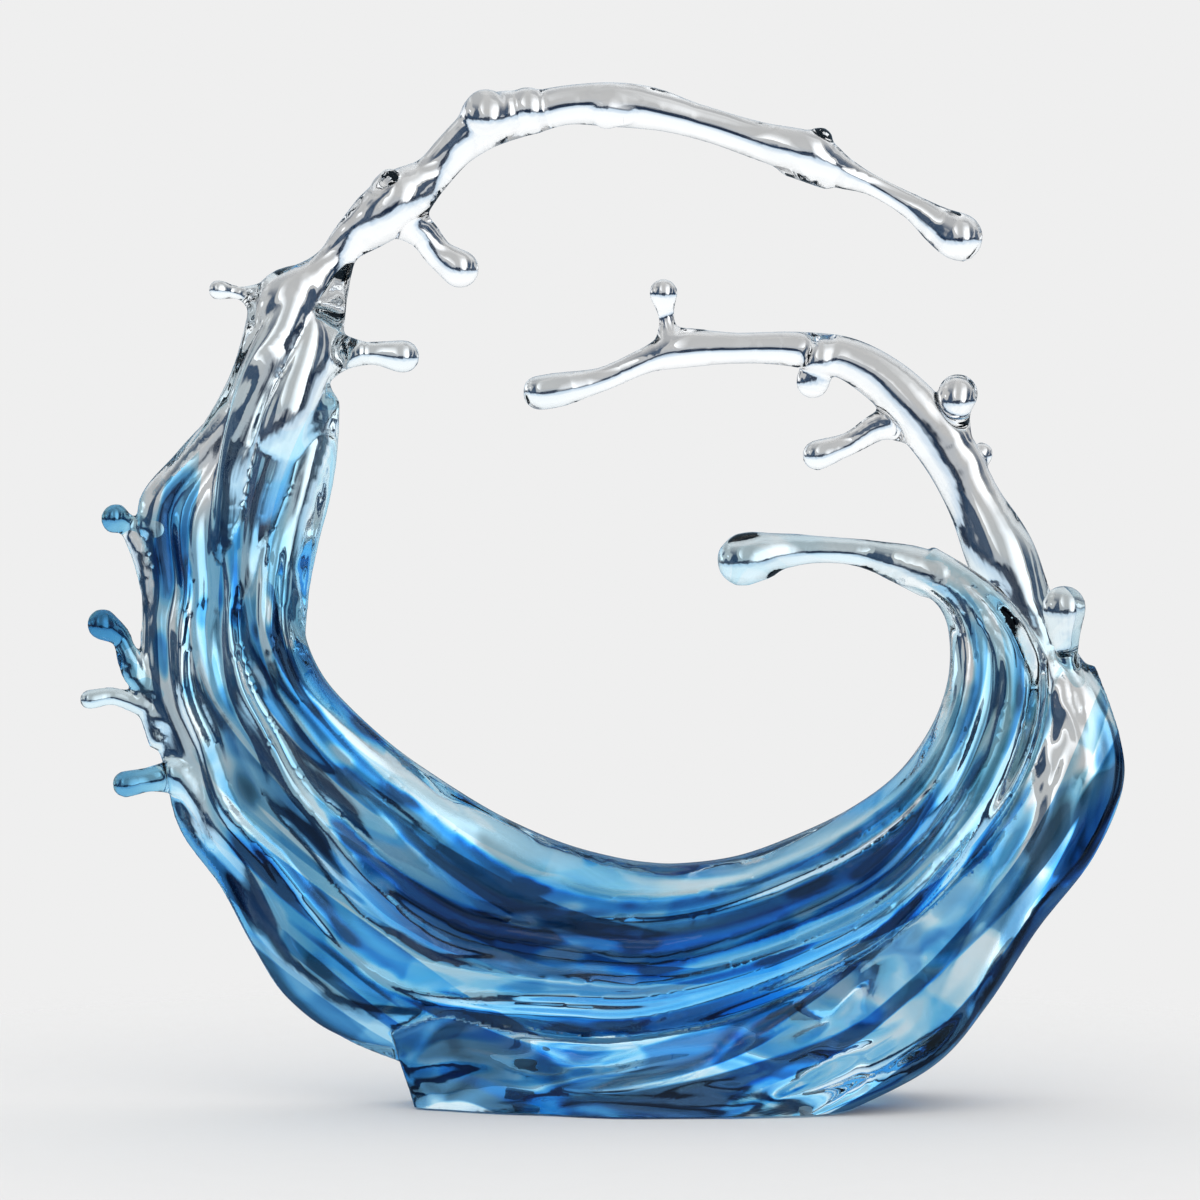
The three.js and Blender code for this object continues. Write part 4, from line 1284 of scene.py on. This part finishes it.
@dataclass
class Sculpture:
    """The whole wave: forms, joints and pieces.

    Attributes:
        arms: the arms.
        body: wall, foot and shell.
        pads: the bumper pads.
        base_level: height of the flat base over the table.
        neck_radius: radius that the side of the neck is evened out with.
        socket: how far a droplet's socket stands off its root.
        feather_bed: the same for the feather.
    """

    arms: Arms = field(default_factory=Arms)
    body: Body = field(default_factory=Body)
    pads: Pads = field(default_factory=Pads)
    base_level: float = 1.0 * MM
    neck_radius: float = 8 * MM
    socket: float = 1.2 * MM
    feather_bed: float = 7 * MM

    def main_forms(self) -> list:
        """Every overlapping form of resin apart from the droplets.

        Returns:
            The closed forms.
        """
        body, arms = self.body, self.arms
        skins = [form.skin() for form in (body.shell, body.wall, arms.crest, arms.right, arms.lip)]
        for tint, rows in FOLDS:
            radii = np.array(rows, float)[:, 3] * MM
            skins.append(Strand(PICTURE.route(rows), radii, np.ones(len(rows)), tint=tint, sides=28).skin())
        return skins

    def build(self, foundry: Foundry) -> dict:
        """Runs the forms together, parts the pieces and marks them with their flow.

        Args:
            foundry: does the work.

        Returns:
            Objects by the name of the node that each stands for.
        """
        main_forms = self.main_forms()
        own = {form.name: form.stem().skin() for form in DROPLETS}
        creases = [row for form in DROPLETS for row in form.creases()]
        creases += [[*point, self.neck_radius] for point in PICTURE.route(NECK_SIDE)]
        body = foundry.run_together(main_forms + list(own.values()), creases)
        foundry.trim(body, foundry.cutter(block((-1, -1, -1), (1, 1, self.base_level)), foundry.resin))
        foundry.trim(body, foundry.cutter(self.pads.recesses()))
        crest, right = self.arms.free(foundry, body)
        hosts = {"crest": crest, "neck": crest, "arm": right, "rim": body, "left": body, "inner": body}
        pieces = {}
        for form in DROPLETS:
            grown = form.stem(self.socket if form.flare else self.feather_bed)
            pieces[form.name] = foundry.part(hosts[form.name.split("_")[0]], grown.skin(), form.name)
        pieces |= self.arms.divide(foundry, crest, right, body)
        pieces |= self.body.divide(foundry, body)
        foundry.sweep()
        marks = FlowMarks(foundry.whole)
        for name, form in own.items():
            marks.mark([pieces[name]], form)
        rest = [piece for name, piece in pieces.items() if name not in own]
        marks.mark(rest, joined(main_forms))
        thrown_away(foundry.whole)
        return pieces

    def dress(self, pieces: dict, foundry: Foundry) -> None:
        """Dresses every piece and puts it in place of its node.

        Args:
            pieces: objects by name.
            foundry: made them.
        """
        tint, relief = resin_tint_group(), flow_relief_group()
        made = {finish.name: finish.material(tint, relief) for finish in FINISHES}
        for name, piece in pieces.items():
            slot = SLOTS.get(name, "clear_resin")
            finish_skin(piece, made[OWN_FINISH.get(name, slot)], foundry)
            piece.name = f"{name}_cast"
            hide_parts(name)
            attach(piece, "root")
            faces, volume = len(piece.data.polygons), signed_volume(piece.data) * 1e6
            LOG.info("%s: %d faces, %.1f cm3", name, faces, volume)
        self.pads.dress()
        LOG.info("%d pads", self.pads.count)


# Finishes


class Sockets:
    """Shorthand for building node trees."""

    def __init__(self, tree: bpy.types.NodeTree) -> None:
        """Keeps the tree that nodes are added to."""
        self.tree = tree

    def add(self, kind: str, inputs: dict | None = None, **settings: object) -> bpy.types.Node:
        """Adds a node.

        Args:
            kind: node type.
            inputs: socket name or number to a value, or to an output socket to link.
            settings: attributes of the node.

        Returns:
            The node.
        """
        node = self.tree.nodes.new(kind)
        for name, value in settings.items():
            setattr(node, name, value)
        for name, value in (inputs or {}).items():
            if isinstance(value, bpy.types.NodeSocket):
                self.tree.links.new(value, node.inputs[name])
            else:
                node.inputs[name].default_value = value
        return node

    def math(self, operation: str, *values: object, **settings: object) -> bpy.types.NodeSocket:
        """Output of a Math node."""
        return self.add("ShaderNodeMath", dict(enumerate(values)), operation=operation, **settings).outputs[0]

    def noise(self, way: bpy.types.NodeSocket, scale: float, detail: float = 2,
              **more: float) -> bpy.types.NodeSocket:
        """Value of a noise at a place."""
        inputs = {"Vector": way, "Scale": scale, "Detail": detail, **more}
        return self.add("ShaderNodeTexNoise", inputs).outputs["Fac"]

    def drawn(self, way: bpy.types.NodeSocket, scale: tuple, shift: float = 0) -> bpy.types.NodeSocket:
        """Place drawn out along its axes and shifted."""
        inputs = {"Vector": way, "Location": (shift, shift, 0), "Scale": scale}
        return self.add("ShaderNodeMapping", inputs).outputs[0]

    def spread(self, value: bpy.types.NodeSocket, low: float, high: float, first: float = 0, last: float = 1,
               kind: str = "LINEAR") -> bpy.types.NodeSocket:
        """Value spread from one range to another."""
        inputs = {0: value, 1: low, 2: high, 3: first, 4: last}
        return self.add("ShaderNodeMapRange", inputs, interpolation_type=kind).outputs[0]

    def soft(self, *values: object) -> bpy.types.NodeSocket:
        """Value spread from one range to another, with soft ends."""
        return self.spread(*values, "SMOOTHSTEP")

    def mixed(self, share: object, first: object, second: object,
              blend: str = "MIX") -> bpy.types.NodeSocket:
        """Colour mixed from two."""
        inputs = {0: share, 6: first, 7: second}
        return self.add("ShaderNodeMix", inputs, data_type="RGBA", blend_type=blend).outputs[2]

    def axes(self, way: bpy.types.NodeSocket) -> bpy.types.NodeOutputs:
        """The three parts of a vector, by axis."""
        return self.add("ShaderNodeSeparateXYZ", {0: way}).outputs

    def place(self, kind: str = "Object") -> bpy.types.NodeSocket:
        """Object coordinates, or others by name."""
        return self.add("ShaderNodeTexCoord").outputs[kind]

    def flow(self) -> bpy.types.NodeSocket:
        """Flow coordinates: along, across and the dye added, which on the wall, foot and shell also holds painted
        highlights and painted shade.
        """
        return self.add("ShaderNodeAttribute", attribute_name="flow").outputs["Vector"]

    def ramp(self, factor: bpy.types.NodeSocket, stops: list) -> bpy.types.NodeSocket:
        """Colour ramp.

        Args:
            factor: what is looked up.
            stops: rows of place, red, green and blue.

        Returns:
            Its colour.
        """
        node = self.add("ShaderNodeValToRGB", {"Fac": factor})
        elements = node.color_ramp.elements
        while len(elements) < len(stops):
            elements.new(0.5)
        for element, (place, *colour) in zip(elements, stops):
            element.position = place
            element.color = (*colour, 1)
        return node.outputs["Color"]

    def surface(self, inputs: dict) -> None:
        """Puts a Principled shader with these inputs on the material's output."""
        shader = self.add("ShaderNodeBsdfPrincipled", {"Metallic": 0.0, **inputs})
        self.add("ShaderNodeOutputMaterial", {"Surface": shader.outputs[0]})


def emptied(owner: bpy.types.ID) -> Sockets:
    """Empties the node tree of a new material or world.

    Args:
        owner: the material or world.

    Returns:
        Its node shorthand.
    """
    owner.use_nodes = True
    owner.node_tree.nodes.clear()
    return Sockets(owner.node_tree)


def new_group(name: str, inputs: dict, output: str, kind: str) -> tuple[Sockets, bpy.types.NodeOutputs]:
    """Shader node group with named sockets.

    Args:
        name: name of the group.
        inputs: input name to its default value.
        output: name of its one output.
        kind: socket type of the output.

    Returns:
        Its node shorthand and its inputs.
    """
    tree = bpy.data.node_groups.new(name, "ShaderNodeTree")
    for label, value in inputs.items():
        tree.interface.new_socket(label, in_out="INPUT", socket_type="NodeSocketFloat").default_value = value
    tree.interface.new_socket(output, in_out="OUTPUT", socket_type=kind)
    nodes = Sockets(tree)
    return nodes, nodes.add("NodeGroupInput").outputs


def flow_relief_group() -> bpy.types.NodeTree:
    """Fine relief of poured resin: long threads along the flow and soft unevenness.

    Returns:
        The group.
    """
    nodes, enter = new_group("flow relief", {"Thread": 1.0, "Swell": 1.0}, "Height", "NodeSocketFloat")
    threads = nodes.noise(nodes.drawn(nodes.flow(), (7, 190, 0)), 1.0, 2.0, Roughness=0.45, Distortion=0.6)
    swell = nodes.noise(nodes.place(), 75.0, 1.0, Roughness=0.4)
    height = nodes.math("ADD", nodes.math("MULTIPLY", threads, enter["Thread"]),
                        nodes.math("MULTIPLY", swell, enter["Swell"]))
    nodes.add("NodeGroupOutput", {"Height": height})
    return nodes.tree


def resin_tint_group() -> bpy.types.NodeTree:
    """Colour of the resin: clear at the crest, sinking through azure to cobalt and navy at the foot.

    The dye lies in ribbons along the flow, dense in some and thin in others, and leans to teal
    in places. The dye carried in the flow also holds painted highlights and painted shade on the
    flanks, crests and creases of the ridges and swells.

    Returns:
        The group.
    """
    nodes, enter = new_group("resin tint", {"Dye": 0.0, "Streaks": 1.0, "Teal": 0.0}, "Color", "NodeSocketColor")
    place, flow = nodes.place(), nodes.flow()
    axes, ribbon = nodes.axes(place), nodes.axes(flow)
    level = nodes.math("ADD", axes["Z"], nodes.math("MULTIPLY", axes["X"], 0.294))
    front = nodes.soft(ribbon["Y"], 0.24, 0.29, 0.25, 1.0)
    body = nodes.math("ADD", nodes.spread(level, 0.33, 0.16, 0.0, 0.44), nodes.soft(level, 0.16, 0.0, 0.0, 0.12))
    streak = nodes.soft(nodes.noise(nodes.drawn(flow, (3.4, 55, 0)), 1.0, 1.5, Distortion=0.4),
                        0.484, 0.516, -0.27, 0.27)
    cloud = nodes.soft(nodes.noise(place, 15.0, 0.6, Distortion=0.5), 0.48, 0.52, -0.1, 0.1)
    uneven = nodes.math("MULTIPLY", nodes.math("ADD", streak, cloud), enter["Streaks"])
    # The flow's own dye comes in here, with the painted highlights and painted shade of the ridges and creases.
    uneven = nodes.math("ADD", nodes.math("MULTIPLY", uneven, front), nodes.math("MULTIPLY", ribbon["Z"], 1.4))
    uneven = nodes.math("MULTIPLY", uneven, nodes.soft(level, 0.34, 0.2, 0.0, 1.0))
    dye = nodes.math("ADD", nodes.math("ADD", body, uneven), enter["Dye"])
    dye = nodes.math("MAXIMUM", dye, nodes.soft(level, 0.26, 0.1, 0.0, 0.15))
    patches = nodes.noise(nodes.drawn(flow, (4, 30, 0), 7.7), 1.0, 1.5, Distortion=0.4)
    lean = nodes.math("ADD", nodes.soft(patches, 0.5, 0.58, 0.0, 0.65), enter["Teal"])
    lean = nodes.math("ADD", lean, nodes.soft(axes["X"], -0.1, -0.155, 0.0, 0.08))
    right = nodes.math("MULTIPLY", nodes.soft(axes["X"], 0.11, 0.15, 0.0, 0.4),
                       nodes.soft(axes["Z"], 0.11, 0.16, 0.0, 1.0))
    lean = nodes.math("ADD", lean, right, use_clamp=True)
    nodes.add("NodeGroupOutput", {"Color": nodes.mixed(lean, nodes.ramp(dye, AZURE_DYE), nodes.ramp(dye, TEAL_DYE))})
    return nodes.tree


# Colour against the amount of dye
AZURE_DYE = [
    (0.0, 0.915, 0.93, 0.94), (0.1, 0.8, 0.89, 0.93), (0.24, 0.4, 0.78, 0.97), (0.4, 0.08, 0.5, 0.94),
    (0.56, 0.012, 0.24, 0.8), (0.72, 0.004, 0.1, 0.52), (0.86, 0.003, 0.03, 0.17),
    (1.0, 0.002, 0.012, 0.05),
]
TEAL_DYE = [
    (0.0, 0.93, 0.94, 0.94), (0.14, 0.72, 0.79, 0.81), (0.34, 0.33, 0.55, 0.63), (0.54, 0.09, 0.29, 0.4),
    (0.74, 0.02, 0.11, 0.18), (1.0, 0.003, 0.014, 0.03),
]


@dataclass(frozen=True)
class ResinFinish:
    """Polished tinted resin.

    Attributes:
        name: name of the material.
        dye: adds dye where positive.
        streaks: how uneven the dye is.
        teal: how far the dye leans to teal.
        thread: height of the fine threads.
        swell: height of the soft unevenness.
    """

    name: str
    dye: float = 0.0
    streaks: float = 1.0
    teal: float = 0.0
    thread: float = 0.05
    swell: float = 0.05

    def material(self, tint: bpy.types.NodeTree, relief: bpy.types.NodeTree) -> bpy.types.Material:
        """The finish as a material.

        Args:
            tint: group of its colour.
            relief: group of its fine relief.

        Returns:
            The material.
        """
        made = bpy.data.materials.new(self.name)
        nodes = emptied(made)
        # A group's inputs exist only once its tree is set, which add does before it sets them
        colour = nodes.add("ShaderNodeGroup", {"Dye": self.dye, "Streaks": self.streaks, "Teal": self.teal},
                           node_tree=tint)
        height = nodes.add("ShaderNodeGroup", {"Thread": self.thread, "Swell": self.swell}, node_tree=relief)
        bump = nodes.add("ShaderNodeBump", {"Strength": 1.0, "Distance": 0.5 * MM, "Height": height.outputs[0]})
        rough = nodes.spread(nodes.noise(nodes.place(), 40.0, 3.0), 0.35, 0.75, 0.0, 0.015)
        nodes.surface({"Base Color": colour.outputs["Color"], "Roughness": rough, "IOR": 1.5,
                       "Transmission Weight": 1.0, "Normal": bump.outputs["Normal"]})
        return made


@dataclass(frozen=True)
class AdhesiveFinish:
    """Clear adhesive in a bonded joint: it doesn't bend light, and shows a few faint specks."""

    name: str = "clear_adhesive"

    def material(self) -> bpy.types.Material:
        """The finish as a material.

        Returns:
            The material.
        """
        made = bpy.data.materials.new(self.name)
        nodes = emptied(made)
        specks = nodes.noise(nodes.place(), 420.0, 2.0)
        colour = nodes.ramp(specks, [(0.7, 1, 1, 1), (0.85, 0.93, 0.96, 0.98)])
        nodes.surface({"Base Color": colour, "Roughness": 0.1, "Alpha": nodes.spread(specks, 0.74, 0.82, 0.0, 0.3)})
        return made


@dataclass(frozen=True)
class PadFinish:
    """Clear soft silicone of the bumper pads, a little cloudy."""

    name: str = "pad_silicone"

    def material(self) -> bpy.types.Material:
        """The finish as a material.

        Returns:
            The material.
        """
        made = bpy.data.materials.new(self.name)
        nodes = emptied(made)
        cloud = nodes.noise(nodes.place(), 260.0, 3.0)
        colour = nodes.ramp(cloud, [(0.3, 0.80, 0.83, 0.86), (0.7, 0.92, 0.93, 0.94)])
        bump = nodes.add("ShaderNodeBump", {"Strength": 0.3, "Distance": 0.05 * MM, "Height": cloud})
        nodes.surface({"Base Color": colour, "Roughness": nodes.spread(cloud, 0, 1, 0.28, 0.45), "IOR": 1.41,
                       "Transmission Weight": 0.55, "Normal": bump.outputs["Normal"]})
        return made


FINISHES = (
    ResinFinish("clear_resin"), ResinFinish("blue_resin"), ResinFinish("deep_blue_resin", -0.07, 1.7),
    ResinFinish("cloudy_blue_resin", -0.05, 1.9), ResinFinish("blue_tip_resin", 0.16, 0.3, 0.3),
    ResinFinish("pale_tip_resin", -0.36, 0.3), ResinFinish("teal_tip_resin", -0.02, 0.6, 0.3),
)
# Slots of the blue pieces, the others being clear, and the pieces with a finish of their own
SLOTS = {"foot_block": "deep_blue_resin", **dict.fromkeys(
    ("right_shell", "wave_wall", "inner_feather", "left_ball_upper", "left_ball_middle", "left_horn",
     "left_droplet_lower"), "blue_resin")}
OWN_FINISH = {"right_shell": "cloudy_blue_resin", "left_ball_upper": "blue_tip_resin",
              "left_ball_middle": "blue_tip_resin", "left_horn": "pale_tip_resin",
              "left_droplet_lower": "teal_tip_resin"}


class FlowMarks:
    """Gives every piece the flow coordinates of its form, and the normals of the whole skin."""

    def __init__(self, whole: bpy.types.Object) -> None:
        """Keeps the skin from before it was parted, and builds the tree."""
        self.whole = whole
        self.tree = self.marking_tree()

    @staticmethod
    def marking_tree() -> bpy.types.NodeTree:
        """Geometry nodes that copy the nearest flow coordinates and normals onto a mesh.

        Returns:
            The tree.
        """
        tree = bpy.data.node_groups.new("flow marks", "GeometryNodeTree")
        for label, way, kind in (("Geometry", "INPUT", "Geometry"), ("Poured", "INPUT", "Object"),
                                 ("Whole", "INPUT", "Object"), ("Geometry", "OUTPUT", "Geometry")):
            tree.interface.new_socket(label, in_out=way, socket_type=f"NodeSocket{kind}")
        nodes = Sockets(tree)
        enter = nodes.add("NodeGroupInput").outputs

        def nearest(source: str, value: bpy.types.NodeSocket) -> bpy.types.NodeSocket:
            """Value at the nearest point of an input object's surface."""
            surface = nodes.add("GeometryNodeObjectInfo", {"Object": enter[source]}).outputs["Geometry"]
            return nodes.add("GeometryNodeSampleNearestSurface", {"Mesh": surface, "Value": value},
                             data_type="FLOAT_VECTOR").outputs["Value"]

        def stored(geometry: bpy.types.NodeSocket, name: str,
                   value: bpy.types.NodeSocket) -> bpy.types.NodeSocket:
            """Geometry with a vector stored at its points."""
            inputs = {"Geometry": geometry, "Name": name, "Value": value}
            return nodes.add("GeometryNodeStoreNamedAttribute", inputs, data_type="FLOAT_VECTOR",
                             domain="POINT").outputs["Geometry"]

        flow = nodes.add("GeometryNodeInputNamedAttribute", {"Name": "flow"}, data_type="FLOAT_VECTOR")
        parts = nodes.axes(nearest("Poured", flow.outputs["Attribute"]))
        even = nodes.add("GeometryNodeBlurAttribute", {"Value": parts["Z"], "Iterations": 3}, data_type="FLOAT")
        marks = nodes.add("ShaderNodeCombineXYZ", {0: parts["X"], 1: parts["Y"], 2: even.outputs["Value"]})
        lean = nearest("Whole", nodes.add("GeometryNodeInputNormal").outputs["Normal"])
        marked = stored(stored(enter["Geometry"], "flow", marks.outputs[0]), "skin_normal", lean)
        nodes.add("NodeGroupOutput", {"Geometry": marked})
        return tree

    def mark(self, pieces: list, form: Skin) -> None:
        """Marks pieces, and leaves them plain meshes.

        Args:
            pieces: the pieces.
            form: the form that they were poured from.
        """
        poured = shown("poured", form.mesh("poured"))
        sockets = {item.name: item.identifier for item in self.tree.interface.items_tree}
        for piece in pieces:
            marks = piece.modifiers.new("flow marks", "NODES")
            marks.node_group = self.tree
            marks[sockets["Poured"]], marks[sockets["Whole"]] = poured, self.whole
            remeshed(piece, settled(piece))
        thrown_away(poured)


def finish_skin(piece: bpy.types.Object, finish: bpy.types.Material, foundry: Foundry) -> None:
    """Dresses a piece, and lets the shading of the whole skin run on over its joints.

    Slivers left by a cut, which lean away from the skin, take the clear adhesive.

    Args:
        piece: the parted piece.
        finish: its resin.
        foundry: parted it.
    """
    mesh = piece.data
    mesh.polygons.foreach_set("use_smooth", np.ones(len(mesh.polygons), bool))
    joint = [material.name == foundry.adhesive.name for material in mesh.materials]
    for index, is_joint in enumerate(joint):
        mesh.materials[index] = foundry.adhesive if is_joint else finish
    kinds = column(mesh.polygons, "material_index", 1, int)
    facing = column(mesh.polygons, "normal", 3)
    totals = column(mesh.polygons, "loop_total", 1, int)
    flat = np.array(joint)[kinds] | (facing[:, 2] < -0.9999)
    skin = column(mesh.attributes["skin_normal"].data, "vector", 3, np.float32)
    skin = skin[column(mesh.loops, "vertex_index", 1, int)]
    starts = np.concatenate([[0], np.cumsum(totals)[:-1]])
    agrees = np.einsum("ij,ij->i", np.add.reduceat(skin, starts, axis=0), facing) / totals
    mesh.polygons.foreach_set("material_index", np.where(~flat & (agrees < 0.4), joint.index(True), kinds))
    normals = np.where(np.repeat(flat, totals)[:, None], np.repeat(facing, totals, axis=0), skin)
    mesh.attributes.remove(mesh.attributes["skin_normal"])
    mesh.normals_split_custom_set(normals.tolist())
    mesh.update()


# Studio


@dataclass
class Studio:
    """Pale floor, soft studio surroundings and the camera of the picture.

    Attributes:
        distance: distance of the camera.
        elevation: its height over the object, in degrees.
        sensor: width of its sensor, in millimetres.
        pale: grey level of the backdrop.
        floor_radius: radius of the floor.
        dark_card: colour of the dark cards.
        light_card: colour of the light cards.
        dimmed: share of the surroundings that reflections show.
        dimmed_floor: colour of the floor in reflections.
    """

    distance: float = 3.0
    elevation: float = 3.5
    sensor: float = 36
    pale: float = 0.863
    floor_radius: float = 0.55
    dark_card: tuple = (0.015, 0.045, 0.10, 1)
    light_card: tuple = (1.45, 1.47, 1.5, 1)
    dimmed: tuple = (0.22, 0.32, 0.42, 1)
    dimmed_floor: tuple = (0.15, 0.22, 0.3, 1)

    def camera(self) -> None:
        """Camera at the picture's viewing angle."""
        data = bpy.data.cameras.new("camera")
        data.sensor_width = self.sensor
        data.lens = self.distance / PICTURE.pixel / PICTURE.side * data.sensor_width
        data.clip_end = 100
        obj = bpy.data.objects.new("camera", data)
        bpy.context.scene.collection.objects.link(obj)
        target = Vector(PICTURE.place(PICTURE.side / 2, PICTURE.side / 2, 0))
        tilt = math.radians(self.elevation)
        obj.location = target + self.distance * Vector((0, -math.cos(tilt), math.sin(tilt)))
        obj.rotation_euler = (math.pi / 2 - tilt, 0, 0)
        bpy.context.scene.camera = obj

    def surroundings(self) -> None:
        """Plain light for surfaces; the background and studio cards for the eye, gloss and glass."""
        world = bpy.data.worlds.new("studio")
        bpy.context.scene.world = world
        nodes = emptied(world)
        way = nodes.place("Generated")
        axes = nodes.axes(way)
        ripple = nodes.noise(way, 7.0, 3.0, Roughness=0.6)
        lift = nodes.math("MULTIPLY", nodes.math("SUBTRACT", ripple, 0.5), 0.16)
        height = nodes.math("ADD", axes["Z"], lift)
        open_room = nodes.ramp(nodes.spread(height, -1.0, 1.0), STUDIO_CARDS)
        screens = nodes.noise(nodes.drawn(way, (1, 1, 0.75)), 2.1, 1.0, Roughness=0.5, Distortion=0.4)
        span = nodes.math("MULTIPLY", nodes.spread(height, 0.06, 0.0), nodes.spread(height, -0.42, -0.2, 0.2))
        span = nodes.math("MULTIPLY", span, nodes.spread(nodes.math("ABSOLUTE", axes["X"]), 0.05, 0.16))
        dark = nodes.math("MULTIPLY", nodes.spread(screens, 0.44, 0.42, 0.0, 0.95), span)
        light = nodes.math("MULTIPLY", nodes.spread(screens, 0.51, 0.523), span)
        cards = nodes.mixed(light, nodes.mixed(dark, open_room, self.dark_card), self.light_card)
        path = nodes.add("ShaderNodeLightPath").outputs
        eye = path["Is Camera Ray"]
        cards = nodes.mixed(path["Is Reflection Ray"], cards, nodes.mixed(1.0, cards, self.dimmed, "MULTIPLY"))
        seen = nodes.math("MAXIMUM", eye, nodes.math("MAXIMUM", path["Is Glossy Ray"], path["Is Transmission Ray"]))
        picture = nodes.mixed(eye, cards, (self.pale, self.pale, self.pale, 1))
        back = nodes.add("ShaderNodeBackground", {"Color": nodes.mixed(seen, (1, 1, 1, 1), picture), "Strength": 1.0})
        nodes.add("ShaderNodeOutputWorld", {"Surface": back.outputs[0]})

    def floor(self) -> None:
        """Pale floor that fades out towards its rim and keeps the soft shadow."""
        disc = bmesh.new()
        bmesh.ops.create_circle(disc, cap_ends=True, segments=96, radius=self.floor_radius)
        mesh = bpy.data.meshes.new("floor")
        disc.to_mesh(mesh)
        disc.free()
        obj = shown("floor", mesh)
        made = bpy.data.materials.new("floor")
        nodes = emptied(made)
        place = nodes.place()
        far = nodes.add("ShaderNodeVectorMath", {0: place}, operation="LENGTH").outputs["Value"]
        fade = nodes.soft(far, self.floor_radius * 0.5, self.floor_radius * 0.97, 0, 1)
        tone = nodes.ramp(nodes.noise(place, 60.0), [(0.3, 0.862, 0.862, 0.862), (0.7, 0.866, 0.866, 0.866)])
        mirrored = nodes.add("ShaderNodeLightPath").outputs["Is Reflection Ray"]
        paper = nodes.add("ShaderNodeBsdfDiffuse", {"Color": nodes.mixed(mirrored, tone, self.dimmed_floor)})
        clear = nodes.add("ShaderNodeBsdfTransparent")
        both = nodes.add("ShaderNodeMixShader", {0: fade, 1: paper.outputs[0], 2: clear.outputs[0]})
        nodes.add("ShaderNodeOutputMaterial", {"Surface": both.outputs[0]})
        mesh.materials.append(made)

    def build(self) -> None:
        """Sets the whole studio up."""
        self.camera()
        self.surroundings()
        self.floor()
        bpy.context.scene.view_settings.view_transform = "Standard"


# Surroundings from straight below to straight above
STUDIO_CARDS = [
    (0.0, 0.7, 0.69, 0.68), (0.3, 0.55, 0.545, 0.54), (0.44, 0.57, 0.565, 0.56), (0.483, 0.5, 0.52, 0.55),
    (0.497, 0.015, 0.025, 0.05), (0.525, 0.02, 0.035, 0.07), (0.545, 0.65, 0.78, 0.92),
    (0.6, 1.08, 1.11, 1.13), (0.75, 1.15, 1.15, 1.15), (1.0, 1.0, 1.0, 1.0),
]


def main() -> None:
    """Builds the sculpture and its studio."""
    logging.basicConfig(level=logging.INFO, format="%(name)s: %(message)s")
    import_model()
    Studio().build()
    foundry = Foundry(resin=bpy.data.materials.new("resin"), adhesive=AdhesiveFinish().material())
    sculpture = Sculpture()
    pieces = sculpture.build(foundry)
    sculpture.dress(pieces, foundry)


if __name__ == "__main__":
    main()
